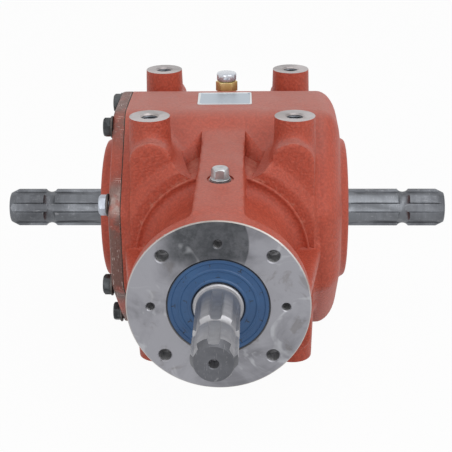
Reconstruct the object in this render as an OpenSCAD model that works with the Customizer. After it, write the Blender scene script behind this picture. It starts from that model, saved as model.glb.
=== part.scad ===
// Right-angle bevel gearbox with one input shaft and one through cross shaft.
// Millimetres, +Z up. The origin is the centre of the four lower feet, on their faces.
// The cross shaft lies along X, the input shaft points to -Y, and their axes cross at height axis_h.

/* [Layout] */
// Height of the shaft axes above the feet
axis_h = 114; // [112:1:120]
// Length over both ends of the cross shaft
cross_len = 409; // [390:1:440]
// From the cross axis to the free end of the input shaft
input_reach = 302; // [292:1:330]
// From the cross axis to the face of the input flange
flange_reach = 212; // [206:1:216]
// From the input axis to the outer face of each side hub
hub_reach = 111.5; // [110:0.5:114]

/* [Housing] */
// Half height and half depth of the drum, over its flats
drum_half = 105; // [104:0.5:107]
// Half width of each flat of the drum
flat_half = 36; // [34:0.5:39]
// Rounding of the drum's long corners
corner_r = 16; // [10:1:20]
// Wall of the casting
wall = 10; // [8:0.5:11]
// From the input axis to the closed right wall's outer face
right_reach = 104; // [102:0.5:106]
// Rounding of the right wall's edge
edge_r = 12; // [8:1:14]
// From the input axis to the cover's joint face
joint_reach = 88; // [86:0.5:90]
// Length of the bolting rim at the joint
rim_len = 10; // [8:1:12]
// Radius of the round opening in the rim
rim_bore_r = 85; // [82:0.5:87]
// Radius of the side hubs
hub_r = 65; // [62:0.5:68]

/* [Feet] */
// Spacing of the feet along the cross shaft
foot_x = 123.5; // [121:0.5:126]
// Spacing of the feet along the input shaft
foot_y = 157; // [155:0.5:159]
// Radius of a foot's machined face
foot_r = 17.5; // [16:0.5:18.5]
// Draft of the foot columns, in degrees
foot_draft = 1.8; // [0.5:0.1:2.5]
// Radius of the tapped holes in the feet
foot_hole_r = 7; // [5:0.1:8]
// Depth of the tapped holes in the feet
foot_hole_depth = 30; // [20:1:34]
// How far the pads below the feet stand proud of the front and the back
pad_proud = 2; // [1:0.5:3]

/* [Neck and flange] */
// Radius of the input flange
flange_r = 72.5; // [71:0.5:75]
// Thickness of the input flange
flange_t = 18; // [15:1:20]
// Radius of the circle of the large flange holes
flange_hole_circle = 60.5; // [59:0.25:62]
// Radius of the large flange holes
flange_hole_r = 5.1; // [4:0.1:6]
// Depth of the large flange holes
flange_hole_depth = 14; // [10:0.5:14]
// Radius of the circle of the small tapped holes
tapped_circle = 53; // [52:0.25:54]
// Radius of the small tapped holes
tapped_r = 3.4; // [2.5:0.1:4.2]
// Depth of the small tapped holes
tapped_depth = 14; // [10:0.5:15]
// Radius of the neck behind the flange
neck_r = 56; // [54:0.5:58]
// Radius of the neck where it leaves its bell
neck_base_r = 60; // [58:0.5:62]
// Radius of the bell round the neck
bell_r = 74.5; // [73:0.5:76]
// How far the bell's face stands before the drum's
bell_proud = 7.5; // [6:0.5:9]
// Reach of the neck's side webs where they meet the drum
web_reach = 85; // [83:0.5:88]
// Width of the flat rib on top of the neck
rib_w = 37; // [33:0.5:40]
// Height of that rib above the axes where it leaves the drum
rib_z = 87; // [85:0.5:89]
// Thickness of the two side webs of the neck
web_t = 12; // [8:1:14]

/* [Shafts] */
// Diameter over the six spline teeth
spline_od = 34.9; // [33:0.1:36]
// Diameter of the spline's root
spline_root = 29.8; // [28.6:0.1:30.4]
// Width of a spline tooth
tooth_w = 8.69; // [8:0.01:9]
// From a free end to the middle of its ring groove
groove_at = 38; // [34:0.5:42]
// Radius of the ring groove's section
groove_r = 6.85; // [5:0.05:7.5]
// Diameter at the bottom of the ring groove
groove_d = 29.4; // [27:0.1:30]
// Length of the chamfer on a free end
chamfer_len = 7; // [3:0.5:9]
// Depth of the chamfer on a free end
chamfer_in = 3.4; // [2:0.1:5]
// Radius of the spline cutter, seen in the run-out of the teeth
cutter_r = 40; // [25:1:50]
// Diameter of the input shaft in its bearings, pinion and seal
input_d = 40; // [38:0.5:42]
// Diameter of the cross shaft in its bearings and seals
cross_d = 45; // [43:0.5:47]
// Diameter of the cross shaft between its bearings
cross_mid_d = 50; // [49:0.5:52]
// Radius of the centre holes
centre_r = 3.6; // [2:0.2:5]

/* [Gears] */
// Teeth of the pinion on the input shaft
pinion_teeth = 16; // [15:1:17]
// Teeth of the ring gear on the cross shaft
gear_teeth = 24; // [23:1:25]
// Module at the large end of the teeth
gear_module = 6; // [5.8:0.05:6.1]
// Pressure angle
pressure_angle = 20; // [18:0.5:22]
// Width of the teeth along the cone
face_w = 28; // [22:1:30]
// Play of each flank at the pitch cone
flank_play = 0.2; // [0.1:0.05:0.4]

/* [Bearings and seals] */
// Outer diameter of the input bearings and their seal
input_od = 80; // [78:0.5:82]
// Outer diameter of the cross bearings
cross_od = 85; // [83:0.5:87]
// Outer diameter of the cross seals
cross_seal_od = 75; // [70:0.5:77]
// Width of an input bearing from back to back
input_bearing_t = 19.75; // [19:0.25:21]
// Width of a cross bearing from back to back
cross_bearing_t = 20.75; // [20:0.25:22]
// Rollers in each bearing
rollers = 17; // [15:1:17]
// Width of the seals
seal_w = 10; // [8:0.5:11]
// How far the seals sit below their faces
seal_recess = 0.5; // [0.3:0.1:1]

/* [Cover and fittings] */
// Thickness of the side cover
cover_t = 10.5; // [9:0.5:12]
// Number of cover screws
cover_screw_n = 8;
// Radius of the circle of the cover screws
cover_circle = 99; // [97.5:0.5:100]
// Diameter of the cover screws
screw_d = 10; // [9:0.5:11]
// Width over the flats of the cover screws
screw_af = 16; // [15:0.5:17]
// Height of the cover screws' heads
screw_head = 6.5; // [5:0.5:8]
// Width of the nameplate
plate_w = 50; // [40:1:56]
// Depth of the nameplate
plate_d = 39; // [30:1:44]

/* [Hidden] */
$fn = 64;

// Clearances: seats that don't move, running parts, threads, and overshoot of cutters
seat = 0.02;
running = 0.05;
thread_gap = 0.1;
key_gap = 0.05;
over = 1;

// Colours
paint = [0.66, 0.27, 0.22];
bare_steel = [0.62, 0.63, 0.65];
dark_steel = [0.36, 0.37, 0.39];
seal_blue = [0.16, 0.33, 0.55];
brass = [0.78, 0.62, 0.25];

// The drum's outline: four flats and four slants, with rounded corners
slant_half = (drum_half + flat_half) / sqrt(2);
corner_steps = 4;
function crossing(a, b, first) = let(u = 45 * first, v = 45 * (first + 1))
  [(a * sin(v) - b * sin(u)) / sin(45), (b * cos(u) - a * cos(v)) / sin(45)];
function drum_points(inset, r) = let(f = drum_half - inset - r, s = slant_half - inset - r)
  [for (k = [0:7]) let(c = crossing(k % 2 == 0 ? f : s, k % 2 == 0 ? s : f, k))
    for (j = [0:corner_steps]) let(a = 45 * (k + j / corner_steps)) c + r * [cos(a), sin(a)]];

// Bearing places, measured from the crossing of the axes
side_lip = 3;
side_seat = hub_reach - seal_recess - seal_w - side_lip;
shim_t = 0.5;
side_cone_back = side_seat - shim_t - cross_bearing_t;
side_boss_r = cross_od / 2 + 11.5;
clip_t = 1.75;
seal_back = flange_reach - seal_recess - seal_w;
front_cone_back = seal_back - 2 - clip_t;
front_cup_back = front_cone_back - input_bearing_t;
rear_cone_back = 86;
rear_cup_back = rear_cone_back + input_bearing_t;
inner_hub_end = rear_cone_back - 2;
inner_hub_r = input_od / 2 + 10;
lip_t = 5;
lip_r = input_od / 2 - 5;

// Gear cones
pinion_cone = atan(pinion_teeth / gear_teeth);
gear_cone = 90 - pinion_cone;
cone_dist = gear_module * pinion_teeth / 2 / sin(pinion_cone);
addendum = gear_module;
dedendum = 1.25 * gear_module;
flank_steps = 6;
gear_back = 64;
gear_front = 24;
gear_hub_r = 37;
pinion_front = 46;
pinion_hub_r = 32;

// Fittings
gasket_t = 0.8;
screw_washer_t = 2;
cover_face = joint_reach + cover_t;
spigot_len = 4;
plug_at = -138;
rib_end_z = flange_r;
rib_start = drum_half + flat_half - rib_z;
function rib_height(y) = rib_z + (rib_end_z - rib_z) * (-y - rib_start) / (flange_reach - flange_t - rib_start);
plug_seat_z = rib_height(plug_at);
plug_d = 14;
plug_depth = 14;
plug_af = 13;
plug_flange_r = 8.4;
sealing_t = 1.2;
vent_y = 52;
vent_seat_z = 94;
vent_thread_d = 13;
level_z = 12;
plate_y = 5;

// Frames: the tools' local Z runs along the input shaft, or along the cross shaft
module along_input() {
  translate([0, 0, axis_h]) rotate([90, 0, 0]) children();
}

module along_cross() {
  translate([0, 0, axis_h]) rotate([0, 90, 0]) children();
}

module at_feet() {
  for (sx = [-1, 1], sy = [-1, 1])
    translate([sx * foot_x / 2, sy * foot_y / 2, 0]) children();
}

module around(n, r, turn = 0) {
  for (i = [0:n - 1]) rotate([0, 0, turn + 360 * i / n]) translate([r, 0, 0]) children();
}

module ring(r_out, r_in, h) {
  difference() {
    cylinder(h = h, r = r_out);
    translate([0, 0, -over]) cylinder(h = h + 2 * over, r = r_in);
  }
}

module hexagon(af, h) {
  cylinder(h = h, r = af / 2 / cos(30), $fn = 6);
}

// A drilled hole that starts at height 0 and goes down, with a chamfered mouth and a drill point
module tapped_hole(r, depth, mouth) {
  translate([0, 0, -depth]) cylinder(h = depth + over, r = r);
  translate([0, 0, -mouth]) cylinder(h = mouth + over, r1 = r, r2 = r + mouth + over);
  translate([0, 0, -depth - r / 2]) cylinder(h = r / 2, r1 = 0, r2 = r);
}

// Housing parts, drawn around the crossing of the axes
module drum_solid(inset, from_x, to_x, r) {
  translate([from_x, 0, 0]) rotate([0, 90, 0])
    linear_extrude(to_x - from_x) polygon(drum_points(inset, r));
}

module drum_end() {
  from = right_reach - edge_r - 10;
  hull() for (a = [0, 30, 60, 90])
    drum_solid(edge_r * (1 - cos(a)), from, right_reach - edge_r + edge_r * sin(a), corner_r);
}

module foot_columns() {
  grow = axis_h * tan(foot_draft);
  at_feet() rotate_extrude() polygon([[0, -axis_h], [foot_r, -axis_h], [foot_r + grow, 0],
    [foot_r, axis_h], [0, axis_h]]);
}

// The flat upright pads below the feet end in an arch that cuts the columns
module foot_pads() {
  arch_r = foot_r + 1;
  arch_z = axis_h - 15 - arch_r;
  pad_y = drum_half + pad_proud;
  for (sx = [-1, 1], sy = [0, 1]) mirror([0, sy, 0])
    translate([sx * (foot_x / 2 - 2), -foot_y / 2 + over, 0]) rotate([90, 0, 0])
      linear_extrude(pad_y - foot_y / 2 + over)
        polygon([for (a = [0:15:345]) [arch_r * cos(a), arch_r * sin(a) + (a < 180 ? arch_z : -arch_z)]]);
}

// Outline of the shoulders that join the front pads to the bell, for the right side
shoulder = [[54, 94], [42, 82], [34, 74.5], [24, 68.5], [rib_w / 2, 67]];
function upside_down(points) = [for (i = [len(points) - 1:-1:0]) [points[i][0], -points[i][1]]];

module shoulders() {
  for (sx = [0, 1], up = [0, 1]) mirror([sx, 0, 0]) mirror([0, 0, up])
    translate([0, -flat_half, 0]) rotate([90, 0, 0]) linear_extrude(drum_half + pad_proud - flat_half)
      polygon(concat([[foot_x / 2, 60], [foot_x / 2, 98]], shoulder, [[rib_w / 2, 60]]));
}

// The bell stands out of the pads with a flared edge, which ends at the pockets beside the rib
module neck_bell() {
  front = drum_half + bell_proud;
  flare_in = bell_r + 8.5;
  flare_out = flare_in + 16;
  outline = concat([[foot_x / 2 + foot_r - 1, 84], [foot_x / 2 - 2, 99]], shoulder);
  rotate([90, 0, 0]) rotate_extrude() polygon([[0, 50], [bell_r, 50], [bell_r, front - 1], [bell_r - 1, front],
    [0, front]]);
  intersection() {
    rotate([90, 0, 0]) rotate_extrude() polygon([[0, 50], [flare_out, 50], [flare_out, front - 9.5],
      [flare_in, front - 1.5], [0, front - 1.5]]);
    for (sx = [0, 1]) mirror([sx, 0, 0]) rotate([90, 0, 0]) linear_extrude(front + over)
      polygon(concat(outline, upside_down(outline)));
  }
}

module neck_solid() {
  taper_end = flange_reach - 47;
  flange_back = flange_reach - flange_t;
  flange_blend = 6;
  rotate([90, 0, 0]) rotate_extrude() polygon(concat(
    [[0, 0], [neck_base_r, 50], [neck_base_r, drum_half + bell_proud], [neck_r, taper_end]],
    [for (a = [0:15:90]) [neck_r + flange_blend * (1 - cos(a)),
      flange_back - flange_blend * (1 - sin(a))]],
    [[neck_r + flange_blend, flange_back + flange_t / 2], [0, flange_back + flange_t / 2]]));
}

// The rib widens towards the flange
module neck_ribs() {
  flange_back = flange_reach - flange_t;
  end_w = rib_w + 4;
  for (up = [0, 1]) mirror([0, 0, up]) intersection() {
    translate([-end_w, 0, 0]) rotate([90, 0, 90]) linear_extrude(2 * end_w)
      polygon([[-flat_half, 0], [-flat_half, rib_z - 10], [-rib_start, rib_z],
        [-flange_back, rib_end_z], [-flange_back - over, rib_end_z - 1], [-flange_back - over, 0]]);
    linear_extrude(rib_z + over) polygon([[-rib_w / 2, 0], [-end_w / 2, -flange_back - 2 * over],
      [end_w / 2, -flange_back - 2 * over], [rib_w / 2, 0]]);
  }
}

module neck_webs() {
  flange_back = flange_reach - flange_t;
  for (side = [0, 1]) mirror([side, 0, 0])
    translate([0, 0, -web_t / 2]) linear_extrude(web_t)
      polygon([[neck_r - 4, -flange_back - 1], [flange_r - 0.5, -flange_back - 1],
        [web_reach, -drum_half + 1], [neck_r - 4, -drum_half + 1]]);
}

module flange_solid() {
  rotate([90, 0, 0]) rotate_extrude() polygon([[0, flange_reach - flange_t],
    [flange_r - 1, flange_reach - flange_t], [flange_r, flange_reach - flange_t + 1],
    [flange_r, flange_reach - 1], [flange_r - 1, flange_reach], [0, flange_reach]]);
}

module side_hub(from, r) {
  rotate_extrude() polygon([[0, from], [r, from], [r, hub_reach - 3], [r - 1, hub_reach - 1],
    [r - 3, hub_reach], [0, hub_reach]]);
}

// Bore of a side hub: bearing seat, lip and seal seat
module side_bore() {
  translate([0, 0, side_cone_back - over]) cylinder(h = side_seat - side_cone_back + over, r = cross_od / 2 + seat);
  translate([0, 0, side_seat - over]) cylinder(h = side_lip + 2 * over, r = cross_seal_od / 2 - 3);
  translate([0, 0, side_seat + side_lip]) cylinder(h = seal_w + seal_recess + over, r = cross_seal_od / 2 + seat);
  translate([0, 0, hub_reach - 1]) cylinder(h = 1 + over, r1 = cross_seal_od / 2, r2 = cross_seal_od / 2 + 1 + over);
}

// Bore of the neck: rear bearing seat, cored relief between two lips, front bearing and seal seat
module neck_bore() {
  bore = input_od / 2 + seat;
  rotate_extrude() polygon([[0, inner_hub_end - over], [bore, inner_hub_end - over],
    [bore, rear_cup_back], [lip_r, rear_cup_back], [lip_r, rear_cup_back + lip_t],
    [bore + 6, rear_cup_back + lip_t + 4], [bore + 1, front_cup_back - lip_t - 4],
    [lip_r, front_cup_back - lip_t], [lip_r, front_cup_back], [bore, front_cup_back],
    [bore, flange_reach - 1], [bore + 1 + over, flange_reach + over], [0, flange_reach + over]]);
}

module flange_holes() {
  translate([0, 0, flange_reach]) {
    around(4, flange_hole_circle, 45) tapped_hole(flange_hole_r, flange_hole_depth, 0.8);
    around(4, tapped_circle) tapped_hole(tapped_r, tapped_depth, 0.6);
  }
}

// Flat seat and tapped hole of the filler plug (turned over, of the drain plug)
module plug_seat() {
  translate([0, plug_at, plug_seat_z]) {
    translate([0, 0, -0.8]) cylinder(h = 5, r = 11);
    translate([0, 0, -0.8]) tapped_hole(plug_d / 2 + thread_gap, plug_depth + 4, 0.5);
  }
}

module cover_screw_places() {
  around(cover_screw_n, cover_circle, 22.5) children();
}

module housing() {
  housing_face = joint_reach - gasket_t;
  color(paint) translate([0, 0, axis_h]) difference() {
    union() {
      drum_solid(0, -housing_face, right_reach - edge_r, corner_r);
      drum_end();
      rotate([0, 90, 0]) side_hub(right_reach - 1, hub_r);
      foot_columns();
      foot_pads();
      shoulders();
      neck_bell();
      neck_solid();
      neck_ribs();
      neck_webs();
      flange_solid();
      translate([0, vent_y, 0]) cylinder(h = vent_seat_z, r = 14);
      translate([0, drum_half + 3, level_z]) rotate([90, 0, 0]) cylinder(h = 20, r = 13);
    }
    difference() {
      drum_solid(wall, -housing_face + rim_len, right_reach - wall, corner_r - wall / 2);
      rotate([0, 90, 0]) cylinder(h = right_reach, r = side_boss_r - over);
      rotate([90, 0, 0]) cylinder(h = flange_reach, r = inner_hub_r - over);
    }
    difference() {
      drum_solid(wall, -housing_face + rim_len, side_cone_back - 1, corner_r - wall / 2);
      translate([0, -inner_hub_end, 0]) rotate([90, 0, 0]) cylinder(h = flange_reach, r = inner_hub_r);
    }
    rotate([0, -90, 0]) translate([0, 0, joint_reach - rim_len - 2 * over])
      cylinder(h = rim_len + 3 * over, r = rim_bore_r);
    rotate([0, 90, 0]) side_bore();
    rotate([90, 0, 0]) neck_bore();
    rotate([90, 0, 0]) flange_holes();
    at_feet() for (down = [0, 1]) mirror([0, 0, down])
      translate([0, 0, axis_h]) tapped_hole(foot_hole_r, foot_hole_depth, down == 1 ? 0 : 1.5);
    for (up = [0, 1]) mirror([0, 0, up]) plug_seat();
    translate([0, vent_y, vent_seat_z]) {
      cylinder(h = 10, r = 12.5);
      tapped_hole(vent_thread_d / 2 + thread_gap, 24, 0.5);
    }
    translate([0, drum_half + 3, level_z]) rotate([-90, 0, 0])
      tapped_hole(plug_d / 2 + thread_gap, plug_depth + 2, 0.5);
    rotate([0, -90, 0]) cover_screw_places() translate([0, 0, housing_face])
      tapped_hole(screw_d / 2 + thread_gap, 18, 0.5);
  }
}

module cover_plate() {
  edge = 1.5;
  hull() {
    linear_extrude(cover_t - edge) polygon(drum_points(0, corner_r));
    linear_extrude(cover_t) polygon(drum_points(edge, corner_r));
  }
}

module side_cover() {
  color(paint) translate([0, 0, axis_h]) rotate([0, -90, 0]) difference() {
    union() {
      translate([0, 0, joint_reach]) cover_plate();
      side_hub(joint_reach + 1, hub_r);
      translate([0, 0, joint_reach - spigot_len]) ring(rim_bore_r - seat, rim_bore_r - 8, spigot_len + over);
      translate([0, 0, side_cone_back]) cylinder(h = joint_reach - side_cone_back + over, r = side_boss_r);
    }
    side_bore();
    cover_screw_places() translate([0, 0, joint_reach - over])
      cylinder(h = cover_t + 2 * over, r = screw_d / 2 + 0.5);
  }
}

module cover_gasket() {
  color("dimgray") translate([0, 0, axis_h]) rotate([0, -90, 0])
    translate([0, 0, joint_reach - gasket_t]) difference() {
      linear_extrude(gasket_t) polygon(drum_points(0.5, corner_r));
      translate([0, 0, -over]) cylinder(h = gasket_t + 2 * over, r = rim_bore_r + 0.3);
      cover_screw_places() translate([0, 0, -over]) cylinder(h = gasket_t + 2 * over, r = screw_d / 2 + 0.5);
    }
}

module cover_screws() {
  shank = 16 + cover_t + screw_washer_t;
  color(dark_steel) translate([0, 0, axis_h]) rotate([0, -90, 0]) cover_screw_places()
    translate([0, 0, cover_face + screw_washer_t]) {
      intersection() {
        hexagon(screw_af, screw_head);
        translate([0, 0, -over]) cylinder(h = screw_head + over, r1 = screw_af / 2 + 1.6 + screw_head + over,
          r2 = screw_af / 2 + 0.2);
      }
      translate([0, 0, -shank]) cylinder(h = shank + over, r = screw_d / 2);
    }
}

module cover_washers() {
  color(bare_steel) translate([0, 0, axis_h]) rotate([0, -90, 0]) cover_screw_places()
    translate([0, 0, cover_face]) ring(screw_d, screw_d / 2 + 0.25, screw_washer_t);
}

// Splined shaft end that runs from start to stop along local Z, with a tooth on the local X axis
function groove_half(r) = (r - tooth_w / 4) * tan(30) - tooth_w / 2 * cos(30);

module spline_end(start, stop, runout) {
  r_out = spline_od / 2;
  r_root = spline_root / 2;
  top = r_out + 3;
  difference() {
    rotate_extrude() polygon([[0, start], [r_out, start], [r_out, stop - chamfer_len],
      [r_out - chamfer_in, stop], [0, stop]]);
    around(6, 0, 30) {
      translate([0, 0, runout]) linear_extrude(stop - runout + over)
        polygon([[r_root, -groove_half(r_root)], [top, -groove_half(top)],
          [top, groove_half(top)], [r_root, groove_half(r_root)]]);
      translate([r_root + cutter_r, 0, runout]) rotate([90, 0, 0]) rotate_extrude()
        polygon([[cutter_r - top + r_root, -groove_half(top)], [cutter_r, -groove_half(r_root)],
          [cutter_r, groove_half(r_root)], [cutter_r - top + r_root, groove_half(top)]]);
    }
    translate([0, 0, stop - groove_at]) rotate_extrude()
      translate([groove_d / 2 + groove_r, 0]) circle(groove_r);
    translate([0, 0, stop]) tapped_hole(centre_r, 12, 0.6);
  }
}

// Slot and key with round ends, lying on local X, centred at height 0
module key_shape(w, len, from_r, to_r) {
  translate([from_r, 0, 0]) rotate([0, 90, 0]) {
    translate([-(len - w) / 2, -w / 2, 0]) cube([len - w, w, to_r - from_r]);
    for (s = [-1, 1]) translate([s * (len - w) / 2, 0, 0]) cylinder(h = to_r - from_r, r = w / 2);
  }
}

pinion_key_w = 12;
pinion_key_len = 32;
pinion_key_at = (pinion_front + rear_cone_back) / 2;
gear_key_w = 14;
gear_key_len = 34;
gear_key_at = (gear_front + gear_back) / 2;
key_sink = 5;
key_rise = 3.3;

module input_shaft() {
  inner_end = pinion_front - 13;
  journal_end = flange_reach + 2;
  color(bare_steel) along_input() difference() {
    union() {
      spline_end(journal_end - over, input_reach, journal_end + 16);
      rotate_extrude() polygon([[0, inner_end], [input_d / 2 - 1.5, inner_end],
        [input_d / 2, inner_end + 1.5], [input_d / 2, journal_end - 1],
        [input_d / 2 - 1, journal_end], [0, journal_end]]);
    }
    translate([0, 0, pinion_key_at])
      key_shape(pinion_key_w, pinion_key_len, input_d / 2 - key_sink, input_d);
    translate([0, 0, front_cone_back]) ring(input_d, input_d / 2 - 1.25, clip_t + 0.1);
    translate([0, 0, inner_end]) mirror([0, 0, 1]) tapped_hole(centre_r, 12, 0.6);
  }
}

module cross_shaft() {
  journal_end = hub_reach - 3;
  cross_spline_turn = -19.5;
  color(dark_steel) along_cross() difference() {
    union() {
      for (side = [0, 1]) mirror([0, 0, side]) {
        rotate([0, 0, cross_spline_turn]) spline_end(journal_end - over, cross_len / 2, journal_end + 17);
        translate([0, 0, side_cone_back - over]) rotate_extrude() polygon([[0, 0], [cross_d / 2, 0],
          [cross_d / 2, journal_end - side_cone_back], [cross_d / 2 - 1, journal_end - side_cone_back + over],
          [0, journal_end - side_cone_back + over]]);
      }
      cylinder(h = 2 * side_cone_back, r = cross_mid_d / 2, center = true);
    }
    translate([0, 0, gear_key_at])
      key_shape(gear_key_w, gear_key_len, cross_mid_d / 2 - key_sink, cross_mid_d);
  }
}

// Straight bevel teeth. Every flank is a cone surface that runs to the apex, and its section on a
// sphere around the apex is a spherical involute: the trace of a great circle that rolls off the
// base cone. A point of it is given by its cone angle and its turn around the axis.
function base_cone(cone) = asin(sin(cone) * cos(pressure_angle));
function involute(g, base) = g <= base ? 0 :
  acos(cos(g) / cos(base)) / sin(base) - acos(tan(base) / tan(g));
function on_sphere(rho, g, turn) = rho * [sin(g) * cos(turn), sin(g) * sin(turn), cos(g)];
function flank_angles(cone) = let(root = cone - atan(dedendum / cone_dist),
    tip = cone + atan(addendum / cone_dist), base = max(base_cone(cone), root + 0.1))
  concat([root], [for (i = [0:flank_steps - 1]) base + (tip - base) * pow(i / (flank_steps - 1), 0.8)]);
function tooth_turns(cone, teeth) = let(base = base_cone(cone),
    half = 90 / teeth - flank_play / (cone_dist * sin(cone)) * 180 / PI)
  [for (g = flank_angles(cone)) half + involute(cone, base) - involute(g, base)];
function tooth_ring(rho, cone, teeth, phase) = let(g = flank_angles(cone), t = tooth_turns(cone, teeth),
    n = len(g))
  [for (k = [0:teeth - 1]) let(mid = phase + 360 * k / teeth) each concat(
    [for (i = [0:n - 1]) on_sphere(rho, g[i], mid - t[i] - (i == 0 ? 0.3 : 0))],
    [for (i = [0:n - 1]) on_sphere(rho, g[n - 1 - i], mid + t[n - 1 - i] + (i == n - 1 ? 0.3 : 0))])];

module bevel_teeth(cone, teeth, phase, back_z, front_z) {
  outer = tooth_ring(cone_dist, cone, teeth, phase);
  inner = tooth_ring(cone_dist - face_w, cone, teeth, phase);
  n = len(outer);
  polyhedron(points = concat(outer, inner, [[0, 0, back_z], [0, 0, front_z]]),
    faces = concat(
      [for (i = [0:n - 1]) [i, (i + 1) % n, n + (i + 1) % n, n + i]],
      [for (i = [0:n - 1]) [2 * n, (i + 1) % n, i]],
      [for (i = [0:n - 1]) [2 * n + 1, n + i, n + (i + 1) % n]]));
}

module input_pinion() {
  root = pinion_cone - atan(dedendum / cone_dist);
  color(bare_steel) along_input() difference() {
    union() {
      bevel_teeth(pinion_cone, pinion_teeth, 0, cone_dist * cos(root) + 2, pinion_front + 2);
      translate([0, 0, pinion_front]) cylinder(h = rear_cone_back - pinion_front, r = pinion_hub_r - 6);
      translate([0, 0, cone_dist * cos(root) - 2])
        cylinder(h = rear_cone_back - cone_dist * cos(root) + 2, r = pinion_hub_r);
    }
    translate([0, 0, pinion_front - over])
      cylinder(h = rear_cone_back - pinion_front + 2 * over, r = input_d / 2 + seat);
    translate([0, -pinion_key_w / 2 - key_gap, pinion_front - over])
      cube([input_d / 2 + key_rise + key_gap, pinion_key_w + 2 * key_gap, rear_cone_back - pinion_front + 2 * over]);
  }
}

module pinion_key() {
  color(dark_steel) along_input() translate([0, 0, pinion_key_at])
    key_shape(pinion_key_w - 2 * key_gap, pinion_key_len - 2 * key_gap,
      input_d / 2 - key_sink, input_d / 2 + key_rise);
}

module ring_gear() {
  root = gear_cone - atan(dedendum / cone_dist);
  rim_z = cone_dist * cos(root);
  recess_in = gear_hub_r;
  recess_out = cone_dist * sin(root) - 11;
  color(bare_steel) along_cross() difference() {
    union() {
      bevel_teeth(gear_cone, gear_teeth, -90 + 180 / gear_teeth, rim_z + 4, cone_dist * 0.39);
      translate([0, 0, gear_front]) cylinder(h = gear_back - gear_front, r = gear_hub_r - 4);
      translate([0, 0, rim_z - 5]) cylinder(h = gear_back - rim_z + 5, r = gear_hub_r);
    }
    translate([0, 0, gear_front - over]) cylinder(h = gear_back - gear_front + 2 * over, r = cross_mid_d / 2 + seat);
    translate([0, -gear_key_w / 2 - key_gap, gear_front - over])
      cube([cross_mid_d / 2 + key_rise + key_gap, gear_key_w + 2 * key_gap, gear_back - gear_front + 2 * over]);
    rotate_extrude() polygon([[recess_in, gear_back], [recess_in + 2, rim_z - 6],
      [recess_out - 2, rim_z - 6], [recess_out, gear_back]]);
  }
}

module ring_gear_key() {
  color(dark_steel) along_cross() translate([0, 0, gear_key_at])
    key_shape(gear_key_w - 2 * key_gap, gear_key_len - 2 * key_gap,
      cross_mid_d / 2 - key_sink, cross_mid_d / 2 + key_rise);
}

// Lock nut with four slots, and its tab washer with one inner tab
lock_nut_r = 27;
tab_t = 1.5;

module pinion_tab_washer() {
  color(bare_steel) along_input() translate([0, 0, pinion_front - tab_t]) {
    ring(lock_nut_r + 1, input_d / 2 + seat, tab_t);
    around(4, lock_nut_r, 45) translate([0, -2.5, 0]) cube([4, 5, tab_t]);
  }
}

module pinion_lock_nut() {
  nut_h = 9;
  color(dark_steel) along_input() translate([0, 0, pinion_front - tab_t - nut_h]) difference() {
    ring(lock_nut_r, input_d / 2 + thread_gap, nut_h);
    around(4, lock_nut_r - 2.5) translate([0, -3, -over]) cube([5, 6, nut_h + 2 * over]);
  }
}

// Tapered roller bearing. Local Z runs from the inner ring's back face to the outer ring's.
// All rolling surfaces are cones with one apex on the axis.
tilt = 13.5;
function mean_r(d, od) = (d + od) / 4;
function roller_r(d, od) = 0.43 * (od - d) / 4;
function spin(d, od) = atan(roller_r(d, od) * sin(tilt) / mean_r(d, od));
function apex(d, od, t) = t / 2 + mean_r(d, od) / tan(tilt);
function inner_width(t) = t - 1.75;
function outer_width(t) = t - 4.25;
roller_len = 12.6;

module bearing_inner(d, od, t) {
  slope = tan(tilt - spin(d, od));
  a = apex(d, od, t);
  rib = t / 2 - roller_len / 2 * cos(tilt) - roller_r(d, od) * sin(tilt) - 0.4;
  far = t / 2 + roller_len / 2 * cos(tilt) + 0.4;
  rotate_extrude() polygon([[d / 2 + seat, 0.8], [d / 2 + seat + 0.8, 0], [mean_r(d, od) - 0.8, 0],
    [mean_r(d, od) - 0.5, rib], [(a - rib) * slope - running, rib], [(a - far) * slope - running, far],
    [(a - far) * slope + 0.9, far], [(a - far) * slope + 0.5, inner_width(t)],
    [d / 2 + seat + 0.8, inner_width(t)], [d / 2 + seat, inner_width(t) - 0.8]]);
}

module bearing_outer(d, od, t) {
  slope = tan(tilt + spin(d, od));
  a = apex(d, od, t);
  front = t - outer_width(t);
  rotate_extrude() polygon([[(a - front) * slope + running, front], [od / 2 - 0.8, front],
    [od / 2, front + 0.8], [od / 2, t - 1.2], [od / 2 - 1.2, t], [(a - t) * slope + running, t]]);
}

// One roller from its small end, grown by a gap on every side for the cage's pockets
module roller(d, od, t, gap) {
  mid = mean_r(d, od) / sin(tilt);
  near = mid - roller_len / 2;
  far = mid + roller_len / 2;
  grow = tan(spin(d, od));
  translate([0, 0, apex(d, od, t)]) rotate([0, 180 - tilt, 0]) translate([0, 0, near - gap])
    cylinder(h = roller_len + 2 * gap, r1 = near * grow + gap, r2 = far * grow + gap);
}

module rolling_set(d, od, t) {
  a = apex(d, od, t);
  thick = 0.8;
  reach = roller_len / 2 + 1.6;
  mid_z = t / 2;
  lift = 0.6;
  bars = a - mid_z;
  around(rollers, 0) roller(d, od, t, 0);
  difference() {
    rotate_extrude() polygon([for (p = [[-1, -1], [1, -1], [1, 1], [-1, 1]])
      [(bars - p[1] * reach * cos(tilt)) * tan(tilt) + lift + p[0] * thick, mid_z + p[1] * reach * cos(tilt)]]);
    around(rollers, 0) roller(d, od, t, 0.2);
  }
}

module rear_input_place() {
  along_input() translate([0, 0, rear_cone_back]) children();
}

module front_input_place() {
  along_input() translate([0, 0, front_cone_back]) mirror([0, 0, 1]) children();
}

module side_place(side) {
  along_cross() mirror([0, 0, side]) translate([0, 0, side_cone_back]) children();
}

module input_rear_inner_ring() {
  color(bare_steel) rear_input_place() bearing_inner(input_d, input_od, input_bearing_t);
}

module input_rear_outer_ring() {
  color(bare_steel) rear_input_place() bearing_outer(input_d, input_od, input_bearing_t);
}

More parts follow.
